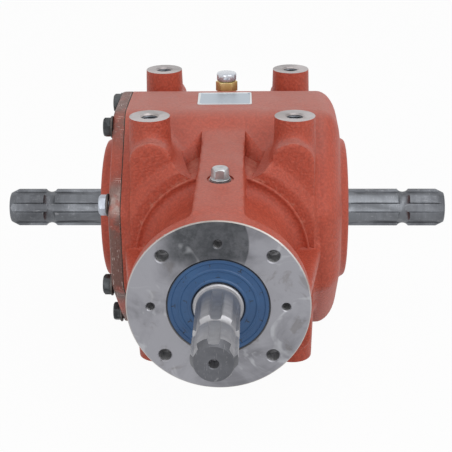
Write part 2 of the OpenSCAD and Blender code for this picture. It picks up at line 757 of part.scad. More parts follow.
module input_rear_rollers() {
  color(dark_steel) rear_input_place() rolling_set(input_d, input_od, input_bearing_t);
}

module input_front_inner_ring() {
  color(bare_steel) front_input_place() bearing_inner(input_d, input_od, input_bearing_t);
}

module input_front_outer_ring() {
  color(bare_steel) front_input_place() bearing_outer(input_d, input_od, input_bearing_t);
}

module input_front_rollers() {
  color(dark_steel) front_input_place() rolling_set(input_d, input_od, input_bearing_t);
}

module left_inner_ring() {
  color(bare_steel) side_place(1) bearing_inner(cross_d, cross_od, cross_bearing_t);
}

module left_outer_ring() {
  color(bare_steel) side_place(1) bearing_outer(cross_d, cross_od, cross_bearing_t);
}

module left_rollers() {
  color(dark_steel) side_place(1) rolling_set(cross_d, cross_od, cross_bearing_t);
}

module right_inner_ring() {
  color(bare_steel) side_place(0) bearing_inner(cross_d, cross_od, cross_bearing_t);
}

module right_outer_ring() {
  color(bare_steel) side_place(0) bearing_outer(cross_d, cross_od, cross_bearing_t);
}

module right_rollers() {
  color(dark_steel) side_place(0) rolling_set(cross_d, cross_od, cross_bearing_t);
}

module side_shim() {
  translate([0, 0, cross_bearing_t]) ring(cross_od / 2, cross_seal_od / 2 - 2, shim_t);
}

module left_shim() {
  color("silver") side_place(1) side_shim();
}

module right_shim() {
  color("silver") side_place(0) side_shim();
}

// Sleeves that hold the inner rings apart
module input_spacer_tube() {
  from = rear_cone_back + inner_width(input_bearing_t);
  to = front_cone_back - inner_width(input_bearing_t);
  color(dark_steel) along_input() translate([0, 0, from])
    ring(input_d / 2 + 4, input_d / 2 + seat, to - from);
}

module long_spacer_sleeve() {
  color(dark_steel) along_cross() translate([0, 0, -side_cone_back])
    ring(cross_mid_d / 2 + 3, cross_mid_d / 2 + seat, gear_front + side_cone_back);
}

module short_spacer_sleeve() {
  color(dark_steel) along_cross() translate([0, 0, gear_back])
    ring(cross_mid_d / 2 + 3, cross_mid_d / 2 + seat, side_cone_back - gear_back);
}

// Retaining ring with its two eyes
module input_shaft_clip() {
  r_in = input_d / 2 - 1.25 + seat;
  eye_turn = 11;
  color(dark_steel) along_input() translate([0, 0, front_cone_back + seat]) difference() {
    union() {
      cylinder(h = clip_t, r = input_d / 2 + 2.6);
      for (s = [-1, 1]) rotate([0, 0, 90 + s * eye_turn]) translate([input_d / 2 + 2, 0, 0])
        cylinder(h = clip_t, r = 2.6);
    }
    translate([0, 0, -over]) cylinder(h = clip_t + 2 * over, r = r_in);
    translate([-2.5, 0, -over]) cube([5, input_d, clip_t + 2 * over]);
    for (s = [-1, 1]) rotate([0, 0, 90 + s * eye_turn]) translate([input_d / 2 + 2.1, 0, -over])
      cylinder(h = clip_t + 2 * over, r = 1);
  }
}

// Lip seal with local Z from its inner face out. The spring lies in a groove round the lip.
spring_r = 0.9;
function spring_ring(d) = d / 2 + 3.6;

module lip_seal(d, od) {
  difference() {
    rotate_extrude() polygon([[od / 2, 0], [od / 2, seal_w], [od / 2 - 3, seal_w],
      [od / 2 - 3.8, seal_w - 0.7], [(d + od) / 4 + 2, seal_w - 0.7], [(d + od) / 4 + 1.2, seal_w - 0.1],
      [(d + od) / 4, seal_w - 0.1], [(d + od) / 4 - 0.8, seal_w - 0.7], [d / 2 + 3.6, seal_w - 0.7],
      [d / 2 + 2.6, seal_w], [d / 2 + 1.2, seal_w], [d / 2 + running, seal_w - 1.2],
      [d / 2 + running, seal_w - 1.8], [d / 2 + 1.8, seal_w - 3], [d / 2 + 1.2, 5], [d / 2 + running, 3.6],
      [d / 2 + 0.7, 2.2], [d / 2 + 3.6, 1.6], [d / 2 + 4.6, seal_w - 3], [od / 2 - 3, seal_w - 3],
      [od / 2 - 3, 0.6], [od / 2 - 2.4, 0]]);
    translate([0, 0, 3]) rotate_extrude() translate([spring_ring(d), 0]) circle(spring_r + seat);
  }
}

module input_seal_place() {
  along_input() translate([0, 0, seal_back]) children();
}

module side_seal_place(side) {
  along_cross() mirror([0, 0, side]) translate([0, 0, side_seat + side_lip]) children();
}

module input_seal() {
  color(seal_blue) input_seal_place() lip_seal(input_d, input_od);
}

module left_seal() {
  color(seal_blue) side_seal_place(1) lip_seal(cross_d, cross_seal_od);
}

module right_seal() {
  color(seal_blue) side_seal_place(0) lip_seal(cross_d, cross_seal_od);
}

module seal_spring(d) {
  translate([0, 0, 3]) rotate_extrude() translate([spring_ring(d), 0]) circle(spring_r);
}

module seal_springs() {
  color("silver") {
    input_seal_place() seal_spring(input_d);
    for (side = [0, 1]) side_seal_place(side) seal_spring(cross_d);
  }
}

// Hexagon plug with a round flange. Local Z points out of the seat.
module screw_plug() {
  top = sealing_t + 10;
  intersection() {
    translate([0, 0, sealing_t + 1]) hexagon(plug_af, top - sealing_t - 1);
    cylinder(h = top, r1 = plug_af / 2 + 1 + top, r2 = plug_af / 2);
  }
  translate([0, 0, sealing_t]) cylinder(h = 1.6, r = plug_flange_r);
  translate([0, 0, -plug_depth]) cylinder(h = plug_depth + sealing_t + 0.5, r = plug_d / 2);
}

module sealing_washer(r, d) {
  ring(r, d / 2 + thread_gap, sealing_t);
}

module filler_place() {
  translate([0, plug_at, axis_h + plug_seat_z - 0.8]) children();
}

module drain_place() {
  translate([0, plug_at, axis_h - plug_seat_z + 0.8]) mirror([0, 0, 1]) children();
}

module level_place() {
  translate([0, drum_half + 3, axis_h + level_z]) rotate([-90, 0, 0]) children();
}

module filler_plug() {
  color("silver") filler_place() screw_plug();
}

module filler_washer() {
  color("silver") filler_place() sealing_washer(plug_flange_r + 0.4, plug_d);
}

module drain_plug() {
  color("silver") drain_place() screw_plug();
}

module drain_washer() {
  color("silver") drain_place() sealing_washer(plug_flange_r + 0.4, plug_d);
}

module level_plug() {
  color("silver") level_place() screw_plug();
}

module level_washer() {
  color("silver") level_place() sealing_washer(plug_flange_r + 0.4, plug_d);
}

module vent_place() {
  translate([0, vent_y, axis_h + vent_seat_z]) children();
}

vent_collar_h = 4.7;
vent_hex_h = 10;

module breather_body() {
  color(brass) vent_place() {
    translate([0, 0, sealing_t]) cylinder(h = vent_collar_h + 0.5, r = 8);
    translate([0, 0, sealing_t + vent_collar_h]) hexagon(18, vent_hex_h);
    translate([0, 0, -12]) cylinder(h = 12 + sealing_t + 1, r = vent_thread_d / 2);
    translate([0, 0, sealing_t + vent_collar_h + vent_hex_h - 1]) cylinder(h = 5, r = 4);
  }
}

module breather_cap() {
  base = sealing_t + vent_collar_h + vent_hex_h + 0.3;
  color("gainsboro") vent_place() translate([0, 0, base]) difference() {
    rotate_extrude() polygon([[0, 0], [8.3, 0], [8.8, 0.7], [8.8, 5.4], [8, 6.9], [6.2, 7.7], [0, 7.9]]);
    translate([0, 0, -over]) cylinder(h = 4.4 + over, r = 4 + seat);
  }
}

module breather_washer() {
  color(brass) vent_place() sealing_washer(11, vent_thread_d);
}

module nameplate() {
  color("gainsboro") translate([0, plate_y, axis_h + drum_half]) linear_extrude(0.8)
    union() {
      square([plate_w - 4, plate_d], center = true);
      square([plate_w, plate_d - 4], center = true);
      for (sx = [-1, 1], sy = [-1, 1])
        translate([sx * (plate_w / 2 - 2), sy * (plate_d / 2 - 2)]) circle(2);
    }
}

housing();
side_cover();
cover_gasket();
cover_screws();
cover_washers();
input_shaft();
input_pinion();
pinion_key();
pinion_tab_washer();
pinion_lock_nut();
input_rear_inner_ring();
input_rear_outer_ring();
input_rear_rollers();
input_front_inner_ring();
input_front_outer_ring();
input_front_rollers();
input_spacer_tube();
input_shaft_clip();
input_seal();
cross_shaft();
ring_gear();
ring_gear_key();
long_spacer_sleeve();
short_spacer_sleeve();
left_inner_ring();
left_outer_ring();
left_rollers();
left_shim();
right_inner_ring();
right_outer_ring();
right_rollers();
right_shim();
left_seal();
right_seal();
seal_springs();
filler_plug();
filler_washer();
drain_plug();
drain_washer();
level_plug();
level_washer();
breather_body();
breather_cap();
breather_washer();
nameplate();
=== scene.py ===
import math
import bpy
import bmesh
from mathutils import Matrix, Vector


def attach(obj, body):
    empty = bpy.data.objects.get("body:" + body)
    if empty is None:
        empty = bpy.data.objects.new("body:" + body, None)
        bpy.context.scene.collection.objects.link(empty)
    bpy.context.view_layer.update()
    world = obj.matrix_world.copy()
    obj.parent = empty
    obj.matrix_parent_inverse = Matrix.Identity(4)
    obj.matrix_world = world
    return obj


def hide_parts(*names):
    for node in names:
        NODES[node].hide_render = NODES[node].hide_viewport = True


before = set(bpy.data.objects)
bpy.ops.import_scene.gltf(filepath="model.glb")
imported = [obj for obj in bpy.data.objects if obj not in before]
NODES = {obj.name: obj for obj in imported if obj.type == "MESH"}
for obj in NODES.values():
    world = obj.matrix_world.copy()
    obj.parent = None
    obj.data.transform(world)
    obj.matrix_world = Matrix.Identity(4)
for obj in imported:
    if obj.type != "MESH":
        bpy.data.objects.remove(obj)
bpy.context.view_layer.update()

MM = 0.001

# Sizes of the gearbox, in metres, as the solids have them
AXIS_H = 0.114                                          # both shafts' axes over the feet
FOOT_X, FOOT_Y, FOOT_R, FOOT_HOLE_R = 0.1235, 0.157, 0.0175, 0.007
TOP_Z = 2 * AXIS_H
FLANGE_Y, FLANGE_R = -0.212, 0.0725
HUB_X = 0.1115                                          # rims of the two hubs
END_X, END_ROUND, END_DISH = 0.104, 0.020, 0.030        # the drum's rounded right end
JOINT_X, GASKET_T = 0.088, 0.0008
DRUM_HALF, FLAT_HALF, CORNER_R = 0.105, 0.036, 0.016    # octagon of the drum
COVER_X = 0.0985
SCREW_CIRCLE, SCREW_TURN, SCREW_R, WASHER_T = 0.099, 22.5, 0.005, 0.002
HOLE_CIRCLE, HOLE_R, TAPPED_CIRCLE, TAPPED_R = 0.0605, 0.0051, 0.053, 0.0034
HOLE_DEPTH = 0.014
WALL, RIM, SIDE_BACK = 0.010, 0.010, 0.07675            # the oil space and its bearing bosses
RIB_HALF = 0.0189
BELL_R = 0.0742
SEAT_R = 0.011
PLUG_Y, PLUG_Z = -0.138, 0.0775
VENT_Y, VENT_Z = 0.052, 0.094
LEVEL_Y, LEVEL_Z = 0.108, 0.012
CAST_SMOOTHING = 1
INPUT_AXIS = Matrix.Translation((0, 0, AXIS_H)) @ Matrix.Rotation(math.radians(90), 4, "X")
LEFT_AXIS = Matrix.Translation((0, 0, AXIS_H)) @ Matrix.Rotation(math.radians(-90), 4, "Y")
RIGHT_AXIS = Matrix.Translation((0, 0, AXIS_H)) @ Matrix.Rotation(math.radians(90), 4, "Y")


# ---- Trees: shader and geometry nodes -------------------------------------------------------

class Wiring:
    """Adds nodes to one tree; a value given to add() is a plain value or another node's socket."""

    def __init__(self, tree):
        self.tree = tree

    def add(self, kind, sockets=None, **settings):
        node = self.tree.nodes.new(kind)
        for key, value in settings.items():
            setattr(node, key, value)
        for key, value in (sockets or {}).items():
            if isinstance(value, bpy.types.NodeSocket):
                self.tree.links.new(value, node.inputs[key])
            else:
                node.inputs[key].default_value = value
        return node

    def calc(self, operation, a, b=0.0):
        return self.add("ShaderNodeMath", {0: a, 1: b}, operation=operation).outputs[0]

    def vector(self, operation, a, b=(0, 0, 0)):
        node = self.add("ShaderNodeVectorMath", {0: a, 1: b}, operation=operation)
        return node.outputs["Value"] if operation in ("DOT_PRODUCT", "LENGTH") else node.outputs[0]

    def ramp(self, value, low, high, out_low=0.0, out_high=1.0):
        return self.add("ShaderNodeMapRange", {"Value": value, "From Min": low, "From Max": high,
                        "To Min": out_low, "To Max": out_high}, interpolation_type="SMOOTHSTEP").outputs[0]

    def mix(self, share, a, b):
        return self.add("ShaderNodeMix", {0: share, 6: a, 7: b}, data_type="RGBA").outputs[2]

    def blend(self, share, a, b):
        return self.add("ShaderNodeMix", {0: share, 2: a, 3: b}, data_type="FLOAT").outputs[0]

    def noise(self, place, scale, detail=2.0, rough=0.5, distortion=0.0):
        return self.add("ShaderNodeTexNoise", {"Vector": place, "Scale": scale, "Detail": detail,
                        "Roughness": rough, "Distortion": distortion}).outputs[0]

    def split(self, place):
        node = self.add("ShaderNodeSeparateXYZ", {0: place})
        return node.outputs[0], node.outputs[1], node.outputs[2]


def new_group(name, inputs, outputs, kind="ShaderNodeTree"):
    """A node group with named inputs (name, socket, value) and outputs (name, socket)."""
    tree = bpy.data.node_groups.new(name, kind)
    for label, socket, value in inputs:
        made = tree.interface.new_socket(label, in_out="INPUT", socket_type="NodeSocket" + socket)
        if value is not None:
            made.default_value = value
    for label, socket in outputs:
        tree.interface.new_socket(label, in_out="OUTPUT", socket_type="NodeSocket" + socket)
    wires = Wiring(tree)
    return tree, wires, wires.add("NodeGroupInput").outputs, wires.add("NodeGroupOutput").inputs


def cast_skin_group():
    """Sand-cast iron under paint: fine grain, coarse pits where Coarse is high, slow unevenness."""
    tree, w, given, out = new_group("Sand cast skin", [("Vector", "Vector", None),
        ("Grain", "Float", 900.0), ("Coarse", "Float", 0.0)],
        [("Height", "Float"), ("Speckle", "Float")])
    fine = w.noise(given["Vector"], given["Grain"], 3, 0.6)
    pits = w.add("ShaderNodeTexVoronoi", {"Vector": given["Vector"],
                 "Scale": w.calc("MULTIPLY", given["Grain"], 0.55)}, feature="SMOOTH_F1").outputs[0]
    lumps = w.noise(given["Vector"], w.calc("MULTIPLY", given["Grain"], 0.62), 2, 0.55)
    slow = w.noise(given["Vector"], 55.0, 2, 0.5)
    rough = w.calc("ADD", w.calc("MULTIPLY", pits, 0.8), lumps)
    height = w.calc("ADD", w.calc("MULTIPLY", fine, 0.25), w.calc("MULTIPLY", slow, 0.5))
    height = w.calc("ADD", height, w.calc("MULTIPLY", rough, given["Coarse"]))
    tree.links.new(height, out["Height"])
    tree.links.new(w.ramp(rough, 0.55, 1.1), out["Speckle"])
    return tree


def dust_and_sheen_group():
    """Mask of the dust and sun-bleach that faces turned up have, and of a painted sheen on them."""
    tree, w, given, out = new_group("Settled dust", [("Vector", "Vector", None),
        ("Amount", "Float", 0.5)], [("Mask", "Float")])
    normal = w.add("ShaderNodeNewGeometry").outputs["Normal"]
    # Upward faces: settled dust, and a painted sheen where light from above falls
    up = w.ramp(w.split(normal)[2], 0.5, 1.0)
    cloud = w.ramp(w.noise(given["Vector"], 38.0, 4, 0.6), 0.3, 0.7, 0.65, 1.0)
    tree.links.new(w.calc("MULTIPLY", w.calc("MULTIPLY", up, cloud), given["Amount"]), out["Mask"])
    return tree


def edge_wear_group():
    """Mask of rubbed edges, broken up by noise."""
    tree, w, given, out = new_group("Edge wear", [("Vector", "Vector", None), ("Low", "Float", 0.53),
        ("High", "Float", 0.6), ("Amount", "Float", 1.0)], [("Mask", "Float")])
    point = w.add("ShaderNodeNewGeometry").outputs["Pointiness"]
    edge = w.add("ShaderNodeMapRange", {"Value": point, "From Min": given["Low"],
                 "From Max": given["High"]}).outputs[0]
    broken = w.ramp(w.noise(given["Vector"], 160.0, 4, 0.65), 0.38, 0.6)
    tree.links.new(w.calc("MULTIPLY", w.calc("MULTIPLY", edge, broken), given["Amount"]), out["Mask"])
    return tree


def turned_group():
    """Turning marks round local Z: fine rings and slow bands, for faces and bores."""
    tree, w, given, out = new_group("Turning marks", [("Vector", "Vector", None),
        ("Pitch", "Float", 1600.0)], [("Height", "Float"), ("Band", "Float")])
    x, y, z = w.split(given["Vector"])
    radius = w.calc("SQRT", w.calc("ADD", w.calc("MULTIPLY", x, x), w.calc("MULTIPLY", y, y)))
    along = w.calc("ADD", radius, z)
    turned = w.add("ShaderNodeCombineXYZ", {0: along, 1: w.calc("MULTIPLY", x, 0.04),
                   2: w.calc("MULTIPLY", y, 0.04)}).outputs[0]
    tree.links.new(w.noise(turned, given["Pitch"], 3, 0.7), out["Height"])
    tree.links.new(w.noise(turned, w.calc("MULTIPLY", given["Pitch"], 0.08), 3, 0.6), out["Band"])
    return tree


def stains_group():
    """Cloudy stains: oil, hand marks and flash rust on bare metal."""
    tree, w, given, out = new_group("Stains", [("Vector", "Vector", None), ("Scale", "Float", 30.0),
        ("Low", "Float", 0.5), ("High", "Float", 0.62)], [("Mask", "Float")])
    cloud = w.noise(given["Vector"], given["Scale"], 5, 0.62, 0.6)
    mask = w.add("ShaderNodeMapRange", {"Value": cloud, "From Min": given["Low"],
                 "From Max": given["High"]}, interpolation_type="SMOOTHSTEP").outputs[0]
    tree.links.new(mask, out["Mask"])
    return tree


def scratches_group():
    """Thin bright scratches in two crossing directions."""
    tree, w, given, out = new_group("Scratches", [("Vector", "Vector", None), ("Scale", "Float", 90.0)],
        [("Mask", "Float")])
    masks = []
    for turn, stretch in ((0.5, (1, 14, 1)), (2.1, (9, 1, 1.5))):
        place = w.add("ShaderNodeMapping", {"Vector": given["Vector"], "Rotation": (turn, 0.3, turn),
                      "Scale": stretch}).outputs[0]
        masks.append(w.ramp(w.noise(place, given["Scale"], 2, 0.4), 0.66, 0.72))
    tree.links.new(w.calc("MAXIMUM", *masks), out["Mask"])
    return tree


CAST_SKIN = cast_skin_group()
DUST_AND_SHEEN = dust_and_sheen_group()
WEAR = edge_wear_group()
TURNED = turned_group()
STAINS = stains_group()
SCRATCHES = scratches_group()


def srgb(red, green, blue):
    """A colour in steps of 0 to 255, as the linear colour that a shader takes."""
    return tuple((c / 255) ** 2.2 for c in (red, green, blue)) + (1.0,)


class Finish:
    """A material with its Principled shader, and a wiring of its own."""

    def __init__(self, name, **plain):
        self.material = bpy.data.materials.new(name)
        self.material.use_nodes = True
        tree = self.material.node_tree
        self.w = Wiring(tree)
        self.shader = tree.nodes["Principled BSDF"]
        for key, value in plain.items():
            self.shader.inputs[key.replace("_", " ")].default_value = value
        self.place = self.w.add("ShaderNodeTexCoord").outputs["Object"]

    def about(self, frame_matrix):
        """Object coordinates as seen in a frame, such as a shaft's axis."""
        inverse = frame_matrix.inverted()
        return self.w.add("ShaderNodeMapping", {"Vector": self.place, "Location": inverse.translation,
                          "Rotation": inverse.to_euler()}).outputs[0]

    def effect(self, tree, **values):
        node = self.w.add("ShaderNodeGroup", node_tree=tree)
        self.w.tree.links.new(values.pop("Vector", self.place), node.inputs["Vector"])
        for key, value in values.items():
            if isinstance(value, bpy.types.NodeSocket):
                self.w.tree.links.new(value, node.inputs[key])
            else:
                node.inputs[key].default_value = value
        return node.outputs

    def feed(self, **sockets):
        for key, value in sockets.items():
            self.w.tree.links.new(value, self.shader.inputs[key.replace("_", " ")])

    def bump(self, height, distance, strength=1.0):
        made = self.w.add("ShaderNodeBump", {"Height": height, "Distance": distance, "Strength": strength})
        self.feed(Normal=made.outputs[0])


def near(w, place, centre, inner, outer):
    """1 inside a ball round a point, falling to 0 at its outer radius."""
    away = w.vector("LENGTH", w.vector("SUBTRACT", place, centre))
    return w.ramp(away, inner, outer, 1.0, 0.0)


def painted_casting(name, worn_edge=False):
    """Red oxide paint on cast iron: grain, coarse pads, dust on top with a painted sheen, rubbed edges, a
    worn rim with a painted highlight.
    """
    f = Finish(name, Roughness=0.5, Coat_Weight=0.05, Coat_Roughness=0.35, Specular_IOR_Level=0.35)
    w = f.w
    x, y, z = w.split(f.place)
    # The drum's front, short of the neck and beside the rib, has the coarsest skin
    front = w.ramp(y, -0.07, -0.098, 0.0, 1.0)
    behind_neck = w.ramp(y, -0.116, -0.112, 0.0, 1.0)
    off_rib = w.ramp(w.calc("ABSOLUTE", x), 0.024, 0.034)
    coarse = w.calc("MULTIPLY", w.calc("MULTIPLY", front, behind_neck), off_rib)
    coarse = w.calc("ADD", w.calc("MULTIPLY", coarse, 0.35), 0.35)
    skin = f.effect(CAST_SKIN, Coarse=coarse, Grain=820.0)
    tone = w.noise(f.place, 17.0, 3, 0.6)
    red = w.mix(tone, srgb(168, 71, 53), srgb(187, 87, 67))
    red = w.mix(w.calc("MULTIPLY", skin["Speckle"], 0.3), red, srgb(104, 42, 32))
    pale = w.ramp(w.noise(f.place, 640.0, 3, 0.65), 0.56, 0.72)
    red = w.mix(w.calc("MULTIPLY", pale, 0.22), red, srgb(206, 128, 110))
    # Dust on the upward faces near the top, with a painted sheen: they turn lighter and greyer
    dust_and_sheen = w.calc("MULTIPLY", f.effect(DUST_AND_SHEEN, Amount=0.6)["Mask"], w.ramp(z, 0.175, 0.2))
    red = w.mix(dust_and_sheen, red, srgb(164, 116, 108))
    rubbed = f.effect(WEAR, Low=0.525, High=0.60, Amount=0.5)["Mask"]
    red = w.mix(rubbed, red, srgb(190, 124, 106))
    rough = w.blend(tone, 0.46, 0.56)
    if worn_edge:
        # The cover's outer edge, handled bare, and a painted highlight: one brighter place near the front
        away = w.vector("LENGTH", w.add("ShaderNodeCombineXYZ",
                        {0: y, 1: w.calc("SUBTRACT", z, AXIS_H)}).outputs[0])
        edge = w.calc("MULTIPLY", w.ramp(x, -0.0992, -0.0978, 0.0, 1.0), w.ramp(away, 0.0985, 0.1035))
        worn = w.calc("MULTIPLY", edge, w.ramp(w.noise(f.place, 46.0, 4, 0.65), 0.3, 0.5, 0.45, 1.0))
        rubs = f.effect(SCRATCHES, Scale=150.0)["Mask"]
        # Painted highlight: a mottled bright spot on the cover's edge near the front
        bright = near(w, f.place, (-0.093, -0.113, AXIS_H + 0.058), 0.008, 0.036)
        bright = w.calc("MULTIPLY", bright, w.ramp(w.noise(f.place, 90.0, 4, 0.6), 0.36, 0.62, 0.3, 0.9))
        # The bare edge's colour: real scratches plus the painted highlight
        bare = w.mix(w.calc("MAXIMUM", rubs, bright), srgb(114, 86, 80), srgb(200, 186, 180))
        red = w.mix(worn, red, bare)
        f.feed(Metallic=w.calc("MULTIPLY", worn, 0.5))
    f.feed(Base_Color=red, Roughness=rough)
    f.bump(skin["Height"], 0.0011, 0.7)
    return f.material


def bare_iron(name, axis, light, dark, dark_reflection=None, pitch=1400.0):
    """Machined cast iron: turning marks, cloudy stains and, on the flange, a painted dark reflection."""
    f = Finish(name, Metallic=1.0, Roughness=0.38)
    w = f.w
    about = f.about(axis)
    marks = f.effect(TURNED, Vector=about, Pitch=pitch)
    cloud = f.effect(STAINS, Scale=16.0, Low=0.42, High=0.66)["Mask"]
    grime = f.effect(STAINS, Scale=42.0, Low=0.56, High=0.66)["Mask"]
    colour = w.mix(cloud, light, dark)
    colour = w.mix(w.calc("MULTIPLY", w.ramp(marks["Band"], 0.35, 0.65), 0.35), colour, light)
    colour = w.mix(w.calc("MULTIPLY", grime, 0.3), colour, srgb(96, 88, 78))
    if dark_reflection:
        # A painted dark reflection with a sharp round border, and pale smears round it
        x, y, _ = w.split(about)
        patch = w.calc("MULTIPLY", near(w, about, *dark_reflection), w.ramp(x, -0.052, -0.028))
        patch = w.calc("MULTIPLY", patch, w.ramp(y, 0.030, 0.044))
        streaks = w.ramp(w.noise(f.place, 90.0, 4, 0.7), 0.35, 0.65, 0.7, 1.0)
        colour = w.mix(w.calc("MULTIPLY", patch, streaks), colour, srgb(78, 80, 83))
        smear = w.ramp(w.noise(f.place, 28.0, 3, 0.7, 1.2), 0.58, 0.68)
        colour = w.mix(w.calc("MULTIPLY", smear, 0.4), colour, srgb(196, 198, 202))
    f.feed(Base_Color=colour, Roughness=w.blend(cloud, 0.42, 0.3))
    f.bump(marks["Height"], 0.0002, 0.35)
    return f.material


def threaded(name, axis, pitch_m, dark, light):
    """Wall of a tapped hole: metal mottled with oil, with the thread's turns."""
    f = Finish(name, Metallic=1.0, Roughness=0.42)
    w = f.w
    depth = w.split(f.about(axis))[2]
    turns = w.calc("PINGPONG", depth, pitch_m / 2)
    oil = w.noise(f.place, 120.0, 3, 0.6)
    f.feed(Base_Color=w.mix(oil, dark, light))
    f.bump(w.calc("DIVIDE", turns, pitch_m), 0.0012, 1.0)
    return f.material


def steel(name, axis, light, dark, rough=0.3, pitch=1800.0):
    """Ground or turned steel with fine rings, streaks and a few stains."""
    f = Finish(name, Metallic=1.0, Roughness=rough)
    w = f.w
    marks = f.effect(TURNED, Vector=f.about(axis), Pitch=pitch)
    cloud = f.effect(STAINS, Scale=20.0, Low=0.35, High=0.72)["Mask"]
    nicks = f.effect(SCRATCHES, Scale=160.0)["Mask"]
    colour = w.mix(cloud, light, dark)
    colour = w.mix(w.calc("MULTIPLY", w.ramp(marks["Band"], 0.4, 0.62), 0.25), colour, dark)
    colour = w.mix(w.calc("MULTIPLY", nicks, 0.16), colour, srgb(215, 215, 218))
    f.feed(Base_Color=colour, Roughness=w.blend(cloud, rough, rough + 0.14))
    f.bump(marks["Height"], 0.00012, 0.3)
    return f.material


def plain_metal(name, light, dark, rough, bright_at=None, metal=1.0, dents=0.3):
    """Plated, blackened or drawn metal with soft mottling and fine scratches, one spot brighter."""
    f = Finish(name, Metallic=metal, Roughness=rough)
    w = f.w
    cloud = f.effect(STAINS, Scale=60.0, Low=0.4, High=0.66)["Mask"]
    nicks = f.effect(SCRATCHES, Scale=200.0)["Mask"]
    glint = tuple(min(1.0, c * 1.5) for c in light[:3]) + (1.0,)
    colour = w.mix(cloud, light, dark)
    colour = w.mix(w.calc("MULTIPLY", nicks, 0.3), colour, glint)
    if bright_at:
        colour = w.mix(near(w, f.place, *bright_at), colour, srgb(176, 182, 192))
    f.feed(Base_Color=colour, Roughness=w.blend(cloud, rough, rough + 0.1))
    f.bump(w.noise(f.place, 700.0, 3, 0.6), 0.0001, dents)
    return f.material


def seal_rubber():
    """Blue rubber lip seal: moulded ticks in two rings, flecks, and a darker band along both edges."""
    f = Finish("Blue seal rubber", Roughness=0.42, Coat_Weight=0.1, Coat_Roughness=0.3)
    w = f.w
    x, y, _ = w.split(f.about(INPUT_AXIS))
    radius = w.calc("SQRT", w.calc("ADD", w.calc("MULTIPLY", x, x), w.calc("MULTIPLY", y, y)))
    angle = w.calc("DIVIDE", w.calc("ARCTAN2", y, x), math.pi)
    # A radial tick and a short bar across its foot, count times round each ring
    ticks = None
    for count, ring, shift in ((9, 0.0352, 0.0), (9, 0.0262, 0.055)):
        turn = w.calc("PINGPONG", w.calc("ADD", angle, 1 + shift), 1 / count)
        across = w.calc("MULTIPLY", w.calc("MULTIPLY", turn, radius), math.pi)
        line = w.ramp(across, 0.0003, 0.0006, 1.0, 0.0)
        bar = w.ramp(across, 0.0016, 0.0020, 1.0, 0.0)
        off = w.calc("ABSOLUTE", w.calc("SUBTRACT", radius, ring))
        tee = w.calc("MAXIMUM", w.calc("MULTIPLY", line, w.ramp(off, 0.0014, 0.0017, 1.0, 0.0)),
                     w.calc("MULTIPLY", bar, w.ramp(w.calc("ABSOLUTE", w.calc("SUBTRACT", radius,
                            ring - 0.0014)), 0.0002, 0.0004, 1.0, 0.0)))
        ticks = tee if ticks is None else w.calc("MAXIMUM", ticks, tee)
    broken = w.ramp(w.noise(f.place, 140.0, 3, 0.6), 0.42, 0.55)
    ticks = w.calc("MULTIPLY", ticks, broken)
    flecks = w.ramp(w.noise(f.place, 420.0, 2, 0.5), 0.68, 0.74)
    tone = w.noise(f.place, 60.0, 4, 0.6)
    colour = w.mix(tone, srgb(32, 66, 106), srgb(54, 92, 134))
    # Darker bands at the seal's outer and inner edges
    rim = w.calc("MAXIMUM", w.ramp(radius, 0.0390, 0.0398), w.ramp(radius, 0.0220, 0.0209))
    dark = w.calc("MAXIMUM", w.calc("MULTIPLY", ticks, 0.85), w.calc("MAXIMUM",
                  w.calc("MULTIPLY", flecks, 0.5), w.calc("MULTIPLY", rim, 0.8)))
    f.feed(Base_Color=w.mix(dark, colour, srgb(20, 26, 36)), Roughness=w.blend(tone, 0.36, 0.52))
    f.bump(w.calc("SUBTRACT", w.noise(f.place, 900.0, 3, 0.6), w.calc("MULTIPLY", ticks, 2.0)),
           0.0002, 0.5)
    return f.material


def plate_face():
    """Bare aluminium plate, brushed along its length, with a pale border."""
    f = Finish("Nameplate aluminium", Metallic=0.85, Roughness=0.34)
    w = f.w
    x, y, _ = w.split(f.place)
    lines = w.add("ShaderNodeMapping", {"Vector": f.place, "Scale": (0.05, 1, 1)}).outputs[0]
    grain = w.noise(lines, 2500.0, 3, 0.6)
    colour = w.mix(grain, srgb(158, 170, 182), srgb(180, 190, 199))
    border = w.calc("MAXIMUM", w.ramp(w.calc("ABSOLUTE", x), 0.0226, 0.0230),
                    w.ramp(w.calc("ABSOLUTE", w.calc("SUBTRACT", y, 0.005)), 0.0171, 0.0175))
    colour = w.mix(border, colour, srgb(214, 218, 220))
    f.feed(Base_Color=colour)
    f.bump(grain, 0.0001, 0.3)
    return f.material


def gasket_sheet():
    """Dark fibre sheet."""
    f = Finish("Gasket sheet", Roughness=0.8)
    fibre = f.w.noise(f.place, 700.0, 4, 0.7)
    f.feed(Base_Color=f.w.mix(fibre, srgb(44, 44, 42), srgb(84, 82, 76)))
    f.bump(fibre, 0.0002, 0.5)
    return f.material


PAINT = painted_casting("Red oxide casting")
COVER_PAINT = painted_casting("Red oxide cover", worn_edge=True)
# The flange's painted dark reflection: a disc round the given point, its border sharp
FLANGE_IRON = bare_iron("Faced flange iron", INPUT_AXIS, srgb(154, 154, 160), srgb(114, 114, 119),
                        dark_reflection=((-0.016, 0.053, -FLANGE_Y), 0.0394, 0.0408))
FOOT_IRON = bare_iron("Faced foot iron", Matrix(), srgb(184, 178, 178), srgb(132, 126, 126), pitch=900.0)
EDGE_IRON = bare_iron("Bright flange edge", INPUT_AXIS, srgb(186, 182, 180), srgb(150, 144, 140), pitch=900.0)
FOOT_THREAD = threaded("Foot thread", Matrix(), 0.002, srgb(58, 62, 70), srgb(142, 144, 150))
FLANGE_THREAD = threaded("Flange thread", INPUT_AXIS, 0.0015, srgb(120, 120, 122), srgb(186, 186, 188))
BRIGHT_STEEL = steel("Bright shaft steel", INPUT_AXIS, srgb(178, 178, 181), srgb(140, 140, 144), 0.46)
SAWN_STEEL = steel("Faced shaft end", INPUT_AXIS, srgb(112, 113, 118), srgb(92, 93, 97), 0.44, 2600.0)
